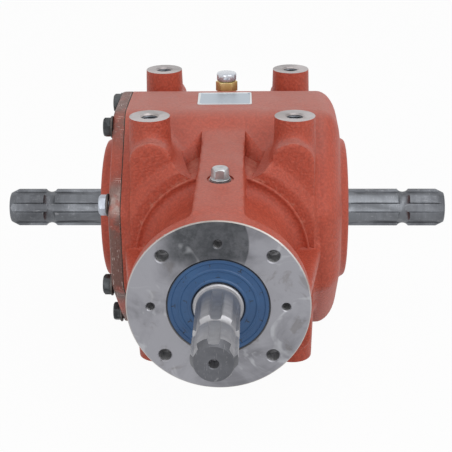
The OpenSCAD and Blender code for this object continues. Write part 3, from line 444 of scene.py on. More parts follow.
DARK_STEEL = steel("Dark shaft steel", RIGHT_AXIS, srgb(122, 125, 130), srgb(90, 92, 96), 0.36)
GEAR_STEEL = steel("Gear steel", INPUT_AXIS, srgb(150, 150, 152), srgb(104, 104, 108), 0.3)
BEARING_STEEL = plain_metal("Bearing steel", srgb(176, 177, 180), srgb(150, 151, 154), 0.2)
BLACK_STEEL = plain_metal("Blackened screw steel", srgb(84, 86, 88), srgb(58, 60, 62), 0.4,
                          bright_at=((-0.104, -0.0915, AXIS_H + 0.0379), 0.014, 0.016))
WASHER_STEEL = plain_metal("Dull washer steel", srgb(104, 100, 98), srgb(72, 68, 66), 0.5)
ZINC = plain_metal("Zinc plated steel", srgb(186, 188, 190), srgb(150, 152, 154), 0.28)
BRASS = plain_metal("Turned brass", srgb(226, 208, 152), srgb(198, 174, 112), 0.3, metal=0.75, dents=0.1)
CHROME = plain_metal("Chromed cap", srgb(204, 208, 214), srgb(172, 177, 186), 0.18, metal=0.7, dents=0.05)
WASHER_METAL = plain_metal("Sealing washer metal", srgb(184, 184, 186), srgb(150, 150, 152), 0.4)
BORE_IRON = bare_iron("Bored iron", INPUT_AXIS, srgb(140, 138, 138), srgb(104, 102, 102))
SEAL = seal_rubber()
PLATE = plate_face()
GASKET = gasket_sheet()


# ---- Meshes ---------------------------------------------------------------------------------

def new_object(name, bm, *materials):
    """An object in the scene with a bmesh as its mesh; the bmesh is freed."""
    mesh = bpy.data.meshes.new(name)
    bm.to_mesh(mesh)
    bm.free()
    for material in materials:
        mesh.materials.append(material)
    made = bpy.data.objects.new(name, mesh)
    bpy.context.scene.collection.objects.link(made)
    return made


def merged_copy(node):
    """A CAD node's triangles as one welded mesh."""
    bm = bmesh.new()
    bm.from_mesh(NODES[node].data)
    bmesh.ops.remove_doubles(bm, verts=bm.verts, dist=2e-6)
    for face in bm.faces:
        face.material_index = 0
    return bm


def add_rod(bm, frame_matrix, radius, start, end, sides=64):
    """A closed cylinder along a frame's Z, from start to end."""
    place = frame_matrix @ Matrix.Translation((0, 0, (start + end) / 2))
    bmesh.ops.create_cone(bm, cap_ends=True, segments=sides, radius1=radius, radius2=radius,
                          depth=end - start, matrix=place)


def add_box(bm, low, high):
    """A box between two corners."""
    size = Vector(high) - Vector(low)
    place = Matrix.Translation((Vector(low) + Vector(high)) / 2) @ Matrix.Diagonal((*size, 1))
    bmesh.ops.create_cube(bm, size=1, matrix=place)


def drum_outline(inset, corner):
    """The octagon of the drum, with rounded corners, as (y, z) round the cross axis."""
    flat = DRUM_HALF - inset - corner
    slant = (DRUM_HALF + FLAT_HALF) / math.sqrt(2) - inset - corner
    points = []
    for k in range(8):
        a, b = (flat, slant) if k % 2 == 0 else (slant, flat)
        u, v = math.radians(45 * k), math.radians(45 * (k + 1))
        meet = Vector((a * math.sin(v) - b * math.sin(u), b * math.cos(u) - a * math.cos(v)))
        meet /= math.sin(math.radians(45))
        for j in range(5):
            turn = math.radians(45 * (k + j / 4))
            points.append(meet + corner * Vector((math.cos(turn), math.sin(turn))))
    return points


def add_slab(bm, x0, x1):
    """A box between two planes across X, wider and higher than the castings."""
    add_box(bm, (x0, -0.14, -0.015), (x1, 0.14, 0.245))


def add_drum(bm, inset, corner, x0, x1):
    """The drum between two planes across X, its octagon drawn in by inset."""
    rings = [[bm.verts.new((x, p.x, p.y + AXIS_H)) for p in drum_outline(inset, corner)]
             for x in (x0, x1)]
    count = len(rings[0])
    for i in range(count):
        j = (i + 1) % count
        bm.faces.new((rings[0][i], rings[0][j], rings[1][j], rings[1][i]))
    bm.faces.new(list(reversed(rings[0])))
    bm.faces.new(rings[1])


def loose_parts(*builders):
    """One temporary object from solids that may overlap, normals outwards."""
    bm = bmesh.new()
    for build in builders:
        build(bm)
    bmesh.ops.recalc_face_normals(bm, faces=bm.faces)
    return new_object("temporary", bm)


def evaluated(made):
    """The mesh that an object's modifiers give, as the object's own mesh."""
    depsgraph = bpy.context.evaluated_depsgraph_get()
    mesh = bpy.data.meshes.new_from_object(made.evaluated_get(depsgraph))
    made.modifiers.clear()
    made.data = mesh
    return made


def modifier(made, kind, **settings):
    """Adds a modifier, its settings by name."""
    added = made.modifiers.new(kind.title(), kind)
    for key, value in settings.items():
        setattr(added, key, value)
    return added


def cut(made, cutter, operation="DIFFERENCE"):
    """Cuts one closed solid by another, or joins them; the cutter is used up."""
    modifier(made, "BOOLEAN", operation=operation, object=cutter, solver="MANIFOLD")
    evaluated(made)
    bpy.data.objects.remove(cutter)
    return made


def smooth_sharp(made, degrees):
    """Smooth shading with sharp edges; faces square to an axis, as machined ones are, stay flat."""
    made.data.shade_smooth()
    made.data.set_sharp_from_angle(angle=math.radians(degrees))
    for face in made.data.polygons:
        if max(abs(part) for part in face.normal) > 0.99999:
            face.use_smooth = False
    return made


def clad(made, name, place, material):
    """Names a piece, puts it in its place, smooths it and gives it one material."""
    made.name = made.data.name = name
    made.data.transform(place)
    made.data.materials.clear()
    made.data.materials.append(material)
    return smooth_sharp(made, 30)


def finish_piece(made, body, slot, *nodes):
    """Ties a piece to its moving body and hides the CAD nodes that it stands for; slot is not used."""
    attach(made, body)
    if nodes:
        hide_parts(*nodes)
    return made


def cast_blank(solid, voxel, fillet):
    """A solid as it leaves the sand: inner corners filled with fillets, outer ones rounded."""
    modifier(solid, "REMESH", mode="VOXEL", voxel_size=voxel)
    modifier(solid, "DISPLACE", strength=fillet, mid_level=0.0)
    modifier(solid, "REMESH", mode="VOXEL", voxel_size=voxel)
    modifier(solid, "DISPLACE", strength=-fillet, mid_level=0.0)
    modifier(solid, "SMOOTH", factor=0.5, iterations=CAST_SMOOTHING)
    modifier(solid, "REMESH", mode="VOXEL", voxel_size=voxel)
    modifier(solid, "SMOOTH", factor=0.5, iterations=3)
    return evaluated(solid)


def add_turned(bm, frame_matrix, profile, sides=96):
    """A closed solid of revolution round a frame's Z, from (radius, height) points."""
    rings = []
    for radius, height in profile:
        count = sides if radius > 1e-9 else 1
        rings.append([bm.verts.new(frame_matrix @ Vector((radius * math.cos(math.tau * i / sides),
                      radius * math.sin(math.tau * i / sides), height))) for i in range(count)])
    for a, b in zip(rings, rings[1:] + rings[:1]):
        if len(a) == len(b) == 1:
            continue
        for i in range(sides):
            j = (i + 1) % sides
            corners = (a[i % len(a)], a[j % len(a)], b[j % len(b)], b[i % len(b)])
            bm.faces.new(list(dict.fromkeys(corners)))


def add_hole(bm, place, radius, depth, mouth, sides=48, seat=0.0, lift=0.0):
    """A drilled hole below a frame's origin with a chamfered mouth, and a flat seat where given."""
    above = 0.004
    profile = [(0, -depth - radius / 2), (radius, -depth), (radius, -mouth)]
    if seat:
        profile += [(radius + mouth, 0), (seat, 0), (seat, lift), (0, lift)]
    else:
        profile += [(radius + mouth + above, above), (0, above)]
    add_turned(bm, place, profile, sides)


def foot_frames():
    """Frames at the eight foot faces, local Z out of the face."""
    for sx in (-1, 1):
        for sy in (-1, 1):
            for up in (0, 1):
                turn = Matrix() if up else Matrix.Rotation(math.pi, 4, "X")
                yield Matrix.Translation((sx * FOOT_X / 2, sy * FOOT_Y / 2, TOP_Z * up)) @ turn


def round_frames(axis, count, radius, turn, height):
    """Frames evenly spaced on a circle round an axis, the first one at turn degrees."""
    for i in range(count):
        yield (axis @ Matrix.Rotation(math.radians(turn + 360 * i / count), 4, "Z")
               @ Matrix.Translation((radius, 0, height)))


def drilled_frames(height=-FLANGE_Y):
    """The flange's four bigger holes."""
    return round_frames(INPUT_AXIS, 4, HOLE_CIRCLE, 45, height)


def tapped_frames(height=-FLANGE_Y):
    """The flange's four smaller holes, between the bigger ones."""
    return round_frames(INPUT_AXIS, 4, TAPPED_CIRCLE, 0, height)


def screw_frames(height):
    """The cover's eight screws."""
    return round_frames(LEFT_AXIS, 8, SCREW_CIRCLE, SCREW_TURN, height)


def plug_frames():
    """Frames on the filler's and the drain's seats, the breather's and the level plug's."""
    centre = Matrix.Translation((0, 0, AXIS_H))
    yield centre @ Matrix.Translation((0, PLUG_Y, PLUG_Z))
    yield centre @ Matrix.Rotation(math.pi, 4, "Y") @ Matrix.Translation((0, PLUG_Y, PLUG_Z))
    yield centre @ Matrix.Translation((0, VENT_Y, VENT_Z))
    yield (Matrix.Translation((0, LEVEL_Y, AXIS_H + LEVEL_Z)) @ Matrix.Rotation(-math.pi / 2, 4, "X"))


def add_hull(bm, points):
    """The convex hull of some points, as a closed solid of its own."""
    made = [bm.verts.new(p) for p in points]
    hull = bmesh.ops.convex_hull(bm, input=made)
    spare = {v for v in hull["geom_interior"] + hull["geom_unused"]
             if isinstance(v, bmesh.types.BMVert) and not v.link_faces}
    bmesh.ops.delete(bm, geom=list(spare), context="VERTS")


def add_rib_ramps(bm):
    """A ramp where each rib of the neck begins on the drum's slant."""
    ramp = ((50, 91), (84, 78.8), (62, 74), (50, 84))
    for up in (-1, 1):
        add_hull(bm, [(sx * 0.0186, -y * MM, AXIS_H + up * z * MM) for sx in (-1, 1) for y, z in ramp])


def pocket_cuts():
    """Pockets between the ribs and the shoulders, cut down to the bell's round top."""
    rib = RIB_HALF / MM
    corners = ((rib, 62.5, 66), (35.3, 70.3, 66), (25.5, 112, 66), (rib, 112, 66),
               (rib, 35.5, 120), (41.0, 45.9, 120), (25.5, 112, 120), (rib, 112, 120))
    bm = bmesh.new()
    for up in (-1, 1):
        for sx in (-1, 1):
            add_hull(bm, [(sx * x * MM, -y * MM, AXIS_H + up * z * MM) for x, y, z in corners])
    bmesh.ops.recalc_face_normals(bm, faces=bm.faces)
    bell = loose_parts(lambda bm: add_rod(bm, INPUT_AXIS, BELL_R, 0.03, 0.114, 160))
    return cut(new_object("pockets", bm), bell)


def machine_stock(bm):
    """Metal left on the castings for machining, and fillings of every bore and hole."""
    add_rod(bm, INPUT_AXIS, FLANGE_R, 0.200, -FLANGE_Y + 0.004, 96)
    add_drum(bm, 0.0, CORNER_R, -JOINT_X - 0.004, -JOINT_X + 0.003)
    add_drum(bm, 0.005, 0.011, -JOINT_X, 0.099)
    add_rod(bm, RIGHT_AXIS, 0.050, 0.070, HUB_X)
    add_rod(bm, INPUT_AXIS, 0.050, 0.060, -FLANGE_Y)
    for place in foot_frames():
        add_rod(bm, place, FOOT_R, -0.006, 0.004)
        add_rod(bm, place, 0.0125, -0.040, 0.0)
    for place in drilled_frames():
        add_rod(bm, place, 0.0075, -0.018, 0.0)
    for place in tapped_frames():
        add_rod(bm, place, 0.0058, -0.018, 0.0)
    filler, drain, vent, level = plug_frames()
    for place in (filler, drain):
        add_rod(bm, place, 0.0125, -0.022, 0.0015)
    add_rod(bm, vent, 0.0126, -0.031, 0.0)
    add_rod(bm, level, 0.0085, -0.025, 0.0)
    add_rib_ramps(bm)


def box_cuts(bm):
    """Stock beyond the feet, above and below, beyond the flange and beyond the cover's joint."""
    add_box(bm, (-0.1, -0.12, TOP_Z), (0.1, 0.12, TOP_Z + 0.02))
    add_box(bm, (-0.1, -0.12, -0.02), (0.1, 0.12, 0.0))
    add_box(bm, (-0.09, FLANGE_Y - 0.02, 0.03), (0.09, FLANGE_Y, 0.2))
    add_slab(bm, -JOINT_X - 0.03, GASKET_T - JOINT_X)


def edge_cuts(bm):
    """The chamfer round the flange, cut by a turned ring."""
    out = -FLANGE_Y
    add_turned(bm, INPUT_AXIS, [(FLANGE_R - 0.0012, out + 0.0002), (FLANGE_R + 0.001, out - 0.002),
                                (FLANGE_R + 0.006, out - 0.002), (FLANGE_R + 0.006, out + 0.0002)], 128)


def end_rounding():
    """What lies outside the drum's right end once its rim is rounded to a wide radius."""
    start = END_X - END_ROUND
    steps = [math.radians(9 * i) for i in range(11)]
    outside = loose_parts(lambda bm: add_box(bm, (start, -0.13, -0.016), (END_X + 0.002, 0.13, 0.244)))
    bm = bmesh.new()
    rings = []
    for turn in steps:
        inset = END_DISH * (1 - math.cos(turn))
        x = start - 0.001 if turn == 0 else start + END_ROUND * math.sin(turn)
        rings.append([bm.verts.new((x, p.x, p.y + AXIS_H)) for p in drum_outline(inset, CORNER_R)])
    rings.append([bm.verts.new((END_X + 0.003, v.co.y, v.co.z)) for v in rings[-1]])
    for a, b in zip(rings, rings[1:]):
        for i in range(len(a)):
            j = (i + 1) % len(a)
            bm.faces.new((a[i], a[j], b[j], b[i]))
    bm.faces.new(list(reversed(rings[0])))
    bm.faces.new(rings[-1])
    bmesh.ops.recalc_face_normals(bm, faces=bm.faces)
    return cut(outside, new_object("rounded drum", bm))


def bell_front():
    """The bell's turned front: a thin ridge, a blend into the neck, and a flared edge on the pads."""
    # Right half of the pads' outline round the axis, from the side to the top of the rib
    half = [(0.0782, 0.084), (0.0597, 0.099), (0.054, 0.094), (0.042, 0.082), (0.034, 0.0745),
            (0.024, 0.0685), (0.019, 0.067)]
    outline = half + [(x, -z) for x, z in reversed(half)]
    flare = loose_parts(lambda bm: add_turned(bm, INPUT_AXIS, [(0.060, 0.100), (0.0935, 0.100),
        (0.0935, 0.1062), (0.0920, 0.1070), (0.0846, 0.1128), (0.0828, 0.1134), (0.0815, 0.11345),
        (0.0790, 0.1135), (0.0762, 0.11345), (0.060, 0.1134)], 160))
    sides = bmesh.new()
    for sx in (-1, 1):
        rings = [[sides.verts.new((sx * x, y, AXIS_H + z)) for x, z in outline] for y in (-0.098, -0.12)]
        for i in range(len(outline)):
            j = (i + 1) % len(outline)
            sides.faces.new((rings[0][i], rings[0][j], rings[1][j], rings[1][i]))
        for ring in rings:
            sides.faces.new(ring)
    bmesh.ops.recalc_face_normals(sides, faces=sides.faces)
    cut(flare, new_object("flare sides", sides), operation="INTERSECT")
    ridge = loose_parts(lambda bm: add_turned(bm, INPUT_AXIS, [(0.050, 0.085), (0.0725, 0.085),
        (0.0746, 0.096), (0.0746, 0.1142), (0.0738, 0.1149), (0.0728, 0.1149), (0.0712, 0.1141),
        (0.0680, 0.1144), (0.0652, 0.1157), (0.0630, 0.1178), (0.0612, 0.1208), (0.0597, 0.1246),
        (0.0585, 0.1290), (0.0576, 0.1340), (0.050, 0.137)], 160))
    return cut(flare, ridge, operation="UNION")


def cavity_solid():
    """The oil space: the drum's inside, less the bosses that carry the bearings."""
    cavity = loose_parts(lambda bm: add_drum(bm, WALL, 0.011, -JOINT_X + GASKET_T + RIM, 0.094))
    bosses = loose_parts(lambda bm: add_rod(bm, RIGHT_AXIS, 0.0535, SIDE_BACK - 0.001, 0.110, 96),
                         lambda bm: add_rod(bm, INPUT_AXIS, 0.0495, 0.0842, 0.120, 96))
    return cut(cavity, bosses)


def add_hub_bore(bm, axis, start):
    """Bore of a hub from inside: bearing, shoulder, seal, and the mouth's chamfer."""
    bearing, shoulder, seal, mouth = 0.04252, 0.0345, 0.03752, 0.0395
    back, front = 0.098, 0.101
    add_turned(bm, axis, [(0, start), (bearing, start), (bearing, back), (shoulder, back),
                          (shoulder, front), (seal, front), (seal, HUB_X - 0.001),
                          (mouth, HUB_X + 0.001), (0, HUB_X + 0.001)])


def bore_cuts(bm):
    """Bores of the housing: the cover's spigot, the right hub and the input shaft's neck."""
    add_turned(bm, LEFT_AXIS, [(0, 0.0757), (0.085, 0.0757), (0.085, 0.092), (0, 0.092)], 128)
    add_hub_bore(bm, RIGHT_AXIS, SIDE_BACK - 0.0015)
    add_turned(bm, INPUT_AXIS, [(0, 0.0835), (0.04002, 0.0835), (0.04002, 0.10575), (0.035, 0.10575),
                                (0.035, 0.11075), (0.046, 0.115), (0.041, 0.169), (0.035, 0.173),
                                (0.035, 0.178), (0.04002, 0.178), (0.04002, 0.211),
                                (0.042, 0.213), (0, 0.213)], 128)


def hole_cuts(bm):
    """Tapped holes of feet, flange, plugs, breather and cover screws, with their seats."""
    for place in foot_frames():
        add_hole(bm, place, FOOT_HOLE_R, 0.030, 0.0015)
    for place in drilled_frames():
        add_hole(bm, place, HOLE_R, HOLE_DEPTH, 0.0008)
    for place in tapped_frames():
        add_hole(bm, place, TAPPED_R, HOLE_DEPTH, 0.0006)
    filler, drain, vent, level = plug_frames()
    for place in (filler, drain):
        add_hole(bm, place, 0.0071, 0.018, 0.0005, seat=SEAT_R, lift=0.005)
    add_hole(bm, vent, 0.0066, 0.024, 0.0005, seat=0.0125, lift=0.012)
    add_hole(bm, level, 0.0071, 0.016, 0.0005)
    for place in screw_frames(JOINT_X - GASKET_T):
        add_hole(bm, place, 0.0051, 0.018, 0.0005, 32)


FLANGE_HOLES = [place.translation for place in (*drilled_frames(0), *tapped_frames(0))]


def housing_face_kind(centre, normal):
    """Finish of a face: 0 paint, 1 flange, 2 foot, 3 and 4 threads, 5 bore, 6 the flange's edge."""
    x, y, z = centre
    out = math.hypot(x, z - AXIS_H)
    if y < FLANGE_Y + 0.0014 and (out > 0.041 or normal.y < -0.99):
        if out > 0.0705 and abs(normal.y) < 0.9:
            return 6
        return 1 if abs(normal.y) > 0.3 else 4
    if y < -0.192 and out > 0.042:
        if min(math.hypot(x - hole.x, z - hole.z) for hole in FLANGE_HOLES) < HOLE_R + 0.0004:
            return 4
    off_axis = abs(z - AXIS_H)
    if off_axis > AXIS_H - 0.0016 and abs(normal.z) > 0.3:
        return 2
    off_foot = math.hypot(abs(x) - FOOT_X / 2, abs(y) - FOOT_Y / 2)
    if off_axis > AXIS_H - 0.036 and off_foot < FOOT_HOLE_R + 0.0005:
        return 3
    around_cross = math.hypot(y, z - AXIS_H)
    if x > 0.07 and around_cross < 0.0432 or out < 0.047 and y < -0.08:
        return 5
    if x < GASKET_T - JOINT_X + 1e-5 and abs(normal.x) > 0.9:
        return 5
    for spot in (Vector((0, PLUG_Y)), Vector((0, VENT_Y))):
        if (Vector((x, y)) - spot).length < 0.0074 and abs(normal.z) < 0.9 and off_axis > 0.05:
            return 5
    return 0


def set_faces(made, materials, kind):
    """Gives each face the material that kind names by its centre and normal."""
    made.data.materials.clear()
    for material in materials:
        made.data.materials.append(material)
    for face in made.data.polygons:
        face.material_index = kind(face.center, face.normal)


def housing_casting():
    """The housing: a cast skin round the welded solid, then machined where the real one is."""
    bm = merged_copy("housing")
    machine_stock(bm)
    blank = cast_blank(new_object("housing_casting", bm), 0.0018, 0.0020)
    cut(blank, loose_parts(box_cuts))
    cut(blank, loose_parts(edge_cuts))
    cut(blank, end_rounding())
    cut(blank, pocket_cuts())
    cut(blank, bell_front(), operation="UNION")
    cut(blank, cavity_solid())
    cut(blank, loose_parts(bore_cuts))
    cut(blank, loose_parts(hole_cuts))
    set_faces(blank, (PAINT, FLANGE_IRON, FOOT_IRON, FOOT_THREAD, FLANGE_THREAD, BORE_IRON, EDGE_IRON),
              housing_face_kind)
    smooth_sharp(blank, 32)
    return finish_piece(blank, "housing_set", "casting_paint", "housing")


def cover_stock(bm):
    """Metal left on the cover for machining, and fillings of its holes."""
    add_drum(bm, 0.0, CORNER_R, -COVER_X, -JOINT_X + 0.005)
    add_rod(bm, LEFT_AXIS, 0.050, 0.086, HUB_X)
    for place in screw_frames(COVER_X):
        add_rod(bm, place, 0.0065, -0.008, 0.0)


def cover_cuts(bm):
    """The cover's hub bore, screw holes and the faced spots round them."""
    add_hub_bore(bm, LEFT_AXIS, 0.070)
    for place in screw_frames(COVER_X):
        add_turned(bm, place, [(0, -0.02), (0.0055, -0.02), (0.0055, 0.0), (0.0118, 0.0), (0.0118, 0.004),
                               (0, 0.004)], 40)


def cover_insides(bm):
    """The spigot and the bearing boss behind the cover's joint face."""
    add_turned(bm, LEFT_AXIS, [(0.077, 0.084), (0.08498, 0.084), (0.08498, 0.0885), (0.077, 0.0885)], 128)
    add_turned(bm, LEFT_AXIS, [(0.030, SIDE_BACK), (0.054, SIDE_BACK), (0.054, 0.0885), (0.030, 0.0885)], 96)


def cover_face_kind(centre, _normal):
    x, y, z = centre
    around_cross = math.hypot(y, z - AXIS_H)
    if around_cross < 0.0432 or x > -JOINT_X - 1e-5:
        return 1
    return 0


def cover_casting():
    """The side cover: a cast skin, then its joint face, spigot, bore and screw holes."""
    bm = merged_copy("side_cover")
    cover_stock(bm)
    blank = cast_blank(new_object("cover_casting", bm), 0.0017, 0.0022)
    cut(blank, loose_parts(lambda bm: add_slab(bm, -JOINT_X, -0.03)))
    cut(blank, loose_parts(cover_insides), operation="UNION")
    cut(blank, loose_parts(cover_cuts))
    set_faces(blank, (COVER_PAINT, BORE_IRON), cover_face_kind)
    smooth_sharp(blank, 32)
    return finish_piece(blank, "housing_set", "casting_paint", "side_cover")


def bevelled_node(node, width, degrees, body, slot, *materials, kind=None):
    """A CAD node with its coplanar triangles joined and its hard edges broken."""
    bm = merged_copy(node)
    bmesh.ops.dissolve_limit(bm, angle_limit=math.radians(0.6), verts=bm.verts, edges=bm.edges)
    made = bevel_now(new_object(node + "_piece", bm, *materials), width, degrees)
    if kind:
        set_faces(made, materials, kind)
    smooth_sharp(made, 30)
    return finish_piece(made, body, slot, node)


def shaft_face_kind(centre, normal):
    """The input shaft's end face and end chamfer are dull, the rest of it is bright."""
    return 1 if centre.y < -0.2945 and normal.y < -0.3 else 0


def circle_tree():
    """Geometry nodes: copies of one piece round a circle, each turned a little on its own axis."""
    tree, w, given, out = new_group("Fasteners on a circle", [("Geometry", "Geometry", None),
        ("Count", "Int", 8), ("Radius", "Float", 0.1), ("Start", "Float", 0.0), ("Piece", "Object", None),
        ("Seed", "Int", 1), ("Material", "Material", None)], [("Geometry", "Geometry")],
        "GeometryNodeTree")
    circle = w.add("GeometryNodeMeshCircle", {"Vertices": given["Count"], "Radius": given["Radius"]})
    start = w.add("ShaderNodeCombineXYZ", {2: given["Start"]}).outputs[0]
    turned = w.add("GeometryNodeTransform", {"Geometry": circle.outputs[0], "Rotation": start})
    piece = w.add("GeometryNodeObjectInfo", {"Object": given["Piece"]}, transform_space="ORIGINAL")
    own = w.add("FunctionNodeRandomValue", {2: 0.0, 3: math.tau, "Seed": given["Seed"]},
                data_type="FLOAT").outputs[1]
    copies = w.add("GeometryNodeInstanceOnPoints", {"Points": turned.outputs[0],
                   "Instance": piece.outputs["Geometry"],
                   "Rotation": w.add("ShaderNodeCombineXYZ", {2: own}).outputs[0]})
    real = w.add("GeometryNodeRealizeInstances", {0: copies.outputs[0]})
    painted = w.add("GeometryNodeSetMaterial", {"Geometry": real.outputs[0],
                    "Material": given["Material"]})
    tree.links.new(painted.outputs[0], out["Geometry"])
    return tree


def fasteners(name, tree, piece, material, height, slot, node, seed):
    """Eight copies of a piece on the cover's screw circle; the piece itself is used up."""
    made = new_object(name, bmesh.new())
    added = modifier(made, "NODES", node_group=tree)
    values = {"Count": 8, "Radius": SCREW_CIRCLE, "Start": math.radians(SCREW_TURN), "Piece": piece,
              "Seed": seed, "Material": material}
    for item in tree.interface.items_tree:
        if item.in_out == "INPUT" and item.name in values:
            added[item.identifier] = values[item.name]
    evaluated(made)
    made.data.transform(LEFT_AXIS @ Matrix.Translation((0, 0, height)))
    bpy.data.objects.remove(piece)
    smooth_sharp(made, 30)
    return finish_piece(made, "housing_set", slot, node)


def add_hexagon(bm, across, low, high):
    """A hexagon bar round Z, its size given across flats."""
    reach = across / 2 / math.cos(math.pi / 6)
    rings = [[bm.verts.new((reach * math.cos(math.tau * i / 6), reach * math.sin(math.tau * i / 6), h))
              for i in range(6)] for h in (low, high)]
    for i in range(6):
        j = (i + 1) % 6
        bm.faces.new((rings[0][i], rings[0][j], rings[1][j], rings[1][i]))
    bm.faces.new(list(reversed(rings[0])))
    bm.faces.new(rings[1])


def hexagon_head(across, low, high, corner_high):
    """A forged hexagon whose corners are turned off to a cone at the top."""
    head = loose_parts(lambda bm: add_hexagon(bm, across, low, high))
    reach = across / 2
    cone = loose_parts(lambda bm: add_turned(bm, Matrix(), [(0, low - 0.001), (reach * 1.4, low - 0.001),
        (reach * 1.19, corner_high), (reach * 0.95, high - 0.0002), (reach * 0.9, high), (0, high)], 72))
    return cut(head, cone, operation="INTERSECT")


def bevel_now(made, width, degrees=30):
    """Breaks the edges sharper than so many degrees."""
    modifier(made, "BEVEL", width=width, segments=2, limit_method="ANGLE",
             angle_limit=math.radians(degrees))
    return evaluated(made)


def cover_screw():
    """One cover screw with its washer face and shank, local Z out of its seat."""
    head = hexagon_head(0.016, 0.0, 0.0065, 0.0046)
    shank = loose_parts(lambda bm: add_turned(bm, Matrix(), [(0, -0.0285), (0.0042, -0.0285),
        (SCREW_R, -0.0275), (SCREW_R, 0.0005), (0, 0.0005)], 32))
    cut(head, shank, operation="UNION")
    dish = loose_parts(lambda bm: add_turned(bm, Matrix(), [(0, 0.0062), (0.0052, 0.0062), (0.0055, 0.007),
                                                            (0, 0.007)], 48))
    cut(head, dish)
    return bevel_now(head, 0.00025)


def cover_washer():
    """One plain washer with a worn upper edge."""
    return loose_parts(lambda bm: add_turned(bm, Matrix(), [(0.00525, 0.0), (0.0097, 0.0), (0.010, 0.0003),
        (0.010, 0.0014), (0.0092, WASHER_T), (0.0055, WASHER_T), (0.00525, 0.0018)], 64))


def screw_plug(name, place, node):
    """Hexagon plug with a round flange and a plain shank, its edges broken."""
    head = hexagon_head(0.013, 0.0022, 0.0112, 0.0096)
    body = loose_parts(lambda bm: add_turned(bm, Matrix(), [(0, -0.014), (0.006, -0.014), (0.007, -0.013),
        (0.007, 0.0012), (0.0081, 0.0012), (0.0084, 0.0015), (0.0084, 0.0024), (0.0080, 0.0028),
        (0, 0.0028)], 72))
    cut(head, body, operation="UNION")
    clad(bevel_now(head, 0.0003), name, place, ZINC)
    return finish_piece(head, "housing_set", "zinc_steel", node)


def breather(place):
    """The breather: a brass hexagon with a stem, and a chromed cap with a rolled rim."""
    body = hexagon_head(0.018, 0.0059, 0.0159, 0.0146)
    stem = loose_parts(lambda bm: add_turned(bm, Matrix(), [(0, -0.012), (0.0058, -0.012), (0.0065, -0.011),
        (0.0065, 0.0012), (0.0080, 0.0012), (0.0080, 0.0064), (0.004, 0.0064), (0.004, 0.0199),
        (0, 0.0199)], 64))
    cut(body, stem, operation="UNION")
    clad(bevel_now(body, 0.00035), "breather_brass", place, BRASS)
    finish_piece(body, "housing_set", "turned_brass", "breather_body")
    cap = loose_parts(lambda bm: add_turned(bm, Matrix(), [(0.00402, 0.0162), (0.0086, 0.0162),
        (0.0092, 0.0167), (0.0094, 0.0174), (0.0094, 0.0221), (0.0091, 0.0229), (0.0083, 0.0235),
        (0.0070, 0.0238), (0.0050, 0.02405), (0, 0.0241), (0, 0.0206), (0.00402, 0.0206)], 72))
    clad(cap, "breather_chrome", place, CHROME)
    finish_piece(cap, "housing_set", "chrome_plate", "breather_cap")


def nameplate():
    """A bare plate with a raised rim and a drive pin near each corner."""
    place = Matrix.Translation((-0.0003, 0.005, AXIS_H + DRUM_HALF)) @ Matrix.Rotation(0.02, 4, "Z")
    half_x, half_y, thick = 0.0246, 0.0195, 0.00055
    bm = bmesh.new()
    add_box(bm, (-half_x, -half_y, 0.0), (half_x, half_y, thick))
    upright = [e for e in bm.edges if abs(e.verts[0].co.z - e.verts[1].co.z) > thick / 2]
    bmesh.ops.bevel(bm, geom=upright, offset=0.002, segments=6, affect="EDGES", profile=0.5)
    bm.normal_update()
    top = [f for f in bm.faces if f.normal.z > 0.9]
    for inset, depth in ((0.0004, 0.0), (0.0012, 0.0), (0.0002, -0.00018)):
        bmesh.ops.inset_region(bm, faces=top, thickness=inset, depth=depth)
    for sx in (-1, 1):
        for sy in (-1, 1):
            add_turned(bm, Matrix.Translation((sx * 0.0222, sy * 0.0167, 0.0)), [(0, 0.0002),
                (0.0011, 0.0002), (0.0011, thick), (0.0008, 0.00075), (0, 0.0008)], 20)
    bmesh.ops.recalc_face_normals(bm, faces=bm.faces)
    made = clad(new_object("plate", bm), "nameplate_bare", place, PLATE)
    return finish_piece(made, "housing_set", "plate_aluminium", "nameplate")


# ---- Stage ----------------------------------------------------------------------------------

def set_camera(scene):
    """The photo's camera: its place, its three axes and its roll."""
    camera = bpy.data.objects.new("Camera", bpy.data.cameras.new("Camera"))
    scene.collection.objects.link(camera)
    scene.camera = camera
    camera.data.sensor_width, camera.data.lens = 36.0, 89.45
    camera.data.clip_end = 50.0
    ahead = Vector((-0.03193, 0.92366, -0.38188))
    right, down = Vector((0.99940, 0.03455, 0.0)), Vector((0.01319, -0.38165, -0.92421))
    roll = math.radians(0.72)
    turned_right = math.cos(roll) * right + math.sin(roll) * down
    turned_down = math.cos(roll) * down - math.sin(roll) * right
    turn = Matrix((turned_right, -turned_down, -ahead)).transposed()
    camera.matrix_world = Matrix.Translation((0.03381, -0.99370, 0.50531)) @ turn.to_4x4()


def set_floor():
    """A floor under the feet, wide enough to fill the view."""
    bm = bmesh.new()
    bmesh.ops.create_grid(bm, x_segments=1, y_segments=1, size=6.0)
    new_object("Floor", bm, floor_finish())


def set_world(scene):
    """Plain grey light on the object; the camera, metal and glass see white."""
    world = bpy.data.worlds.new("Studio")
    scene.world = world
    world.use_nodes = True
    w = Wiring(world.node_tree)
    background = world.node_tree.nodes["Background"]
    path = w.add("ShaderNodeLightPath").outputs
    seen = w.calc("MAXIMUM", path["Is Camera Ray"], w.calc("MAXIMUM", path["Is Glossy Ray"],
                  path["Is Transmission Ray"]))
    w.tree.links.new(w.blend(seen, 0.62, 1.0), background.inputs["Strength"])
    background.inputs["Color"].default_value = (1, 1, 1, 1)


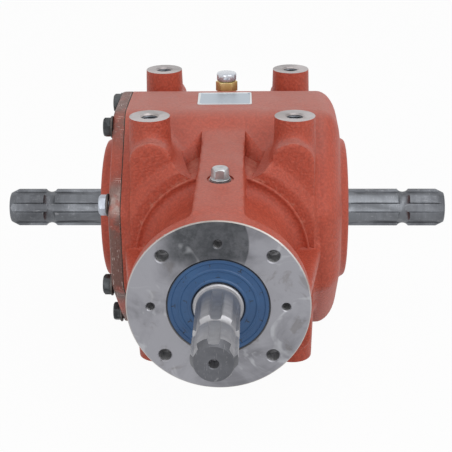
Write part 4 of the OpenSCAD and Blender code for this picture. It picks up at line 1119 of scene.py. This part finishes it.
def set_lamps(scene):
    """Three softboxes that face the gearbox: above, in front at the left, and at the right."""
    for name, place, size, power in (("Overhead softbox", (0.3, -0.3, 1.7), 1.4, 6.0),
                                     ("Front softbox", (-0.7, -1.9, 0.8), 1.0, 7.0),
                                     ("Right softbox", (1.3, -1.3, 1.25), 1.5, 12.0)):
        lamp = bpy.data.objects.new(name, bpy.data.lights.new(name, "AREA"))
        lamp.data.size = size
        lamp.data.energy = power
        lamp.location = place
        lamp.rotation_euler = (Vector((0, 0, AXIS_H)) - Vector(place)).to_track_quat("-Z", "Y").to_euler()
        scene.collection.objects.link(lamp)


def floor_finish():
    """A pale floor that keeps the object's shadow and is seen nearly white."""
    f = Finish("Pale floor", Roughness=0.7)
    w = f.w
    f.feed(Base_Color=w.mix(w.noise(f.place, 3.0, 2, 0.5), srgb(196, 196, 196), srgb(200, 200, 200)))
    glow = w.add("ShaderNodeEmission", {"Color": (1, 1, 1, 1), "Strength": 1.0}).outputs[0]
    path = w.add("ShaderNodeLightPath").outputs
    seen = w.calc("MAXIMUM", path["Is Camera Ray"], path["Is Glossy Ray"])
    both = w.add("ShaderNodeMixShader", {0: w.calc("MULTIPLY", seen, 0.96), 1: f.shader.outputs[0],
                 2: glow})
    w.tree.links.new(both.outputs[0], w.tree.nodes["Material Output"].inputs["Surface"])
    return f.material


# ---- The gearbox ----------------------------------------------------------------------------

CAD_FINISHES = {
    "input_shaft": BRIGHT_STEEL, "cross_shaft": DARK_STEEL, "input_pinion": GEAR_STEEL,
    "ring_gear": GEAR_STEEL, "input_seal": SEAL, "left_seal": SEAL, "right_seal": SEAL,
    "cover_gasket": GASKET, "cover_screws": BLACK_STEEL, "cover_washers": WASHER_STEEL,
    "filler_plug": ZINC, "drain_plug": ZINC, "level_plug": ZINC, "breather_body": BRASS,
    "breather_washer": BRASS, "breather_cap": CHROME, "nameplate": PLATE,
    "filler_washer": WASHER_METAL, "drain_washer": WASHER_METAL, "level_washer": WASHER_METAL,
    "pinion_lock_nut": BLACK_STEEL, "input_shaft_clip": BLACK_STEEL, "housing": PAINT,
    "side_cover": COVER_PAINT,
}
for name, node in NODES.items():
    node.data.materials.clear()
    node.data.materials.append(CAD_FINISHES.get(name, BEARING_STEEL))

housing_casting()
cover_casting()
bevelled_node("input_shaft", 0.00025, 25, "input_shaft_set", "shaft_bright_steel", BRIGHT_STEEL, SAWN_STEEL,
              kind=shaft_face_kind)
bevelled_node("cross_shaft", 0.00025, 25, "cross_shaft_set", "shaft_dark_steel", DARK_STEEL)
ON_CIRCLE = circle_tree()
fasteners("cover_screws_set", ON_CIRCLE, cover_screw(), BLACK_STEEL, COVER_X + WASHER_T,
          "black_steel", "cover_screws", 3)
fasteners("cover_washers_set", ON_CIRCLE, cover_washer(), WASHER_STEEL, COVER_X,
          "zinc_steel", "cover_washers", 5)
FILLER, DRAIN, VENT, LEVEL = plug_frames()
screw_plug("filler_plug_piece", FILLER, "filler_plug")
screw_plug("drain_plug_piece", DRAIN, "drain_plug")
screw_plug("level_plug_piece", LEVEL, "level_plug")
breather(VENT)
nameplate()

SCENE = bpy.context.scene
SCENE.view_settings.view_transform = "Standard"
set_camera(SCENE)
set_floor()
set_world(SCENE)
set_lamps(SCENE)
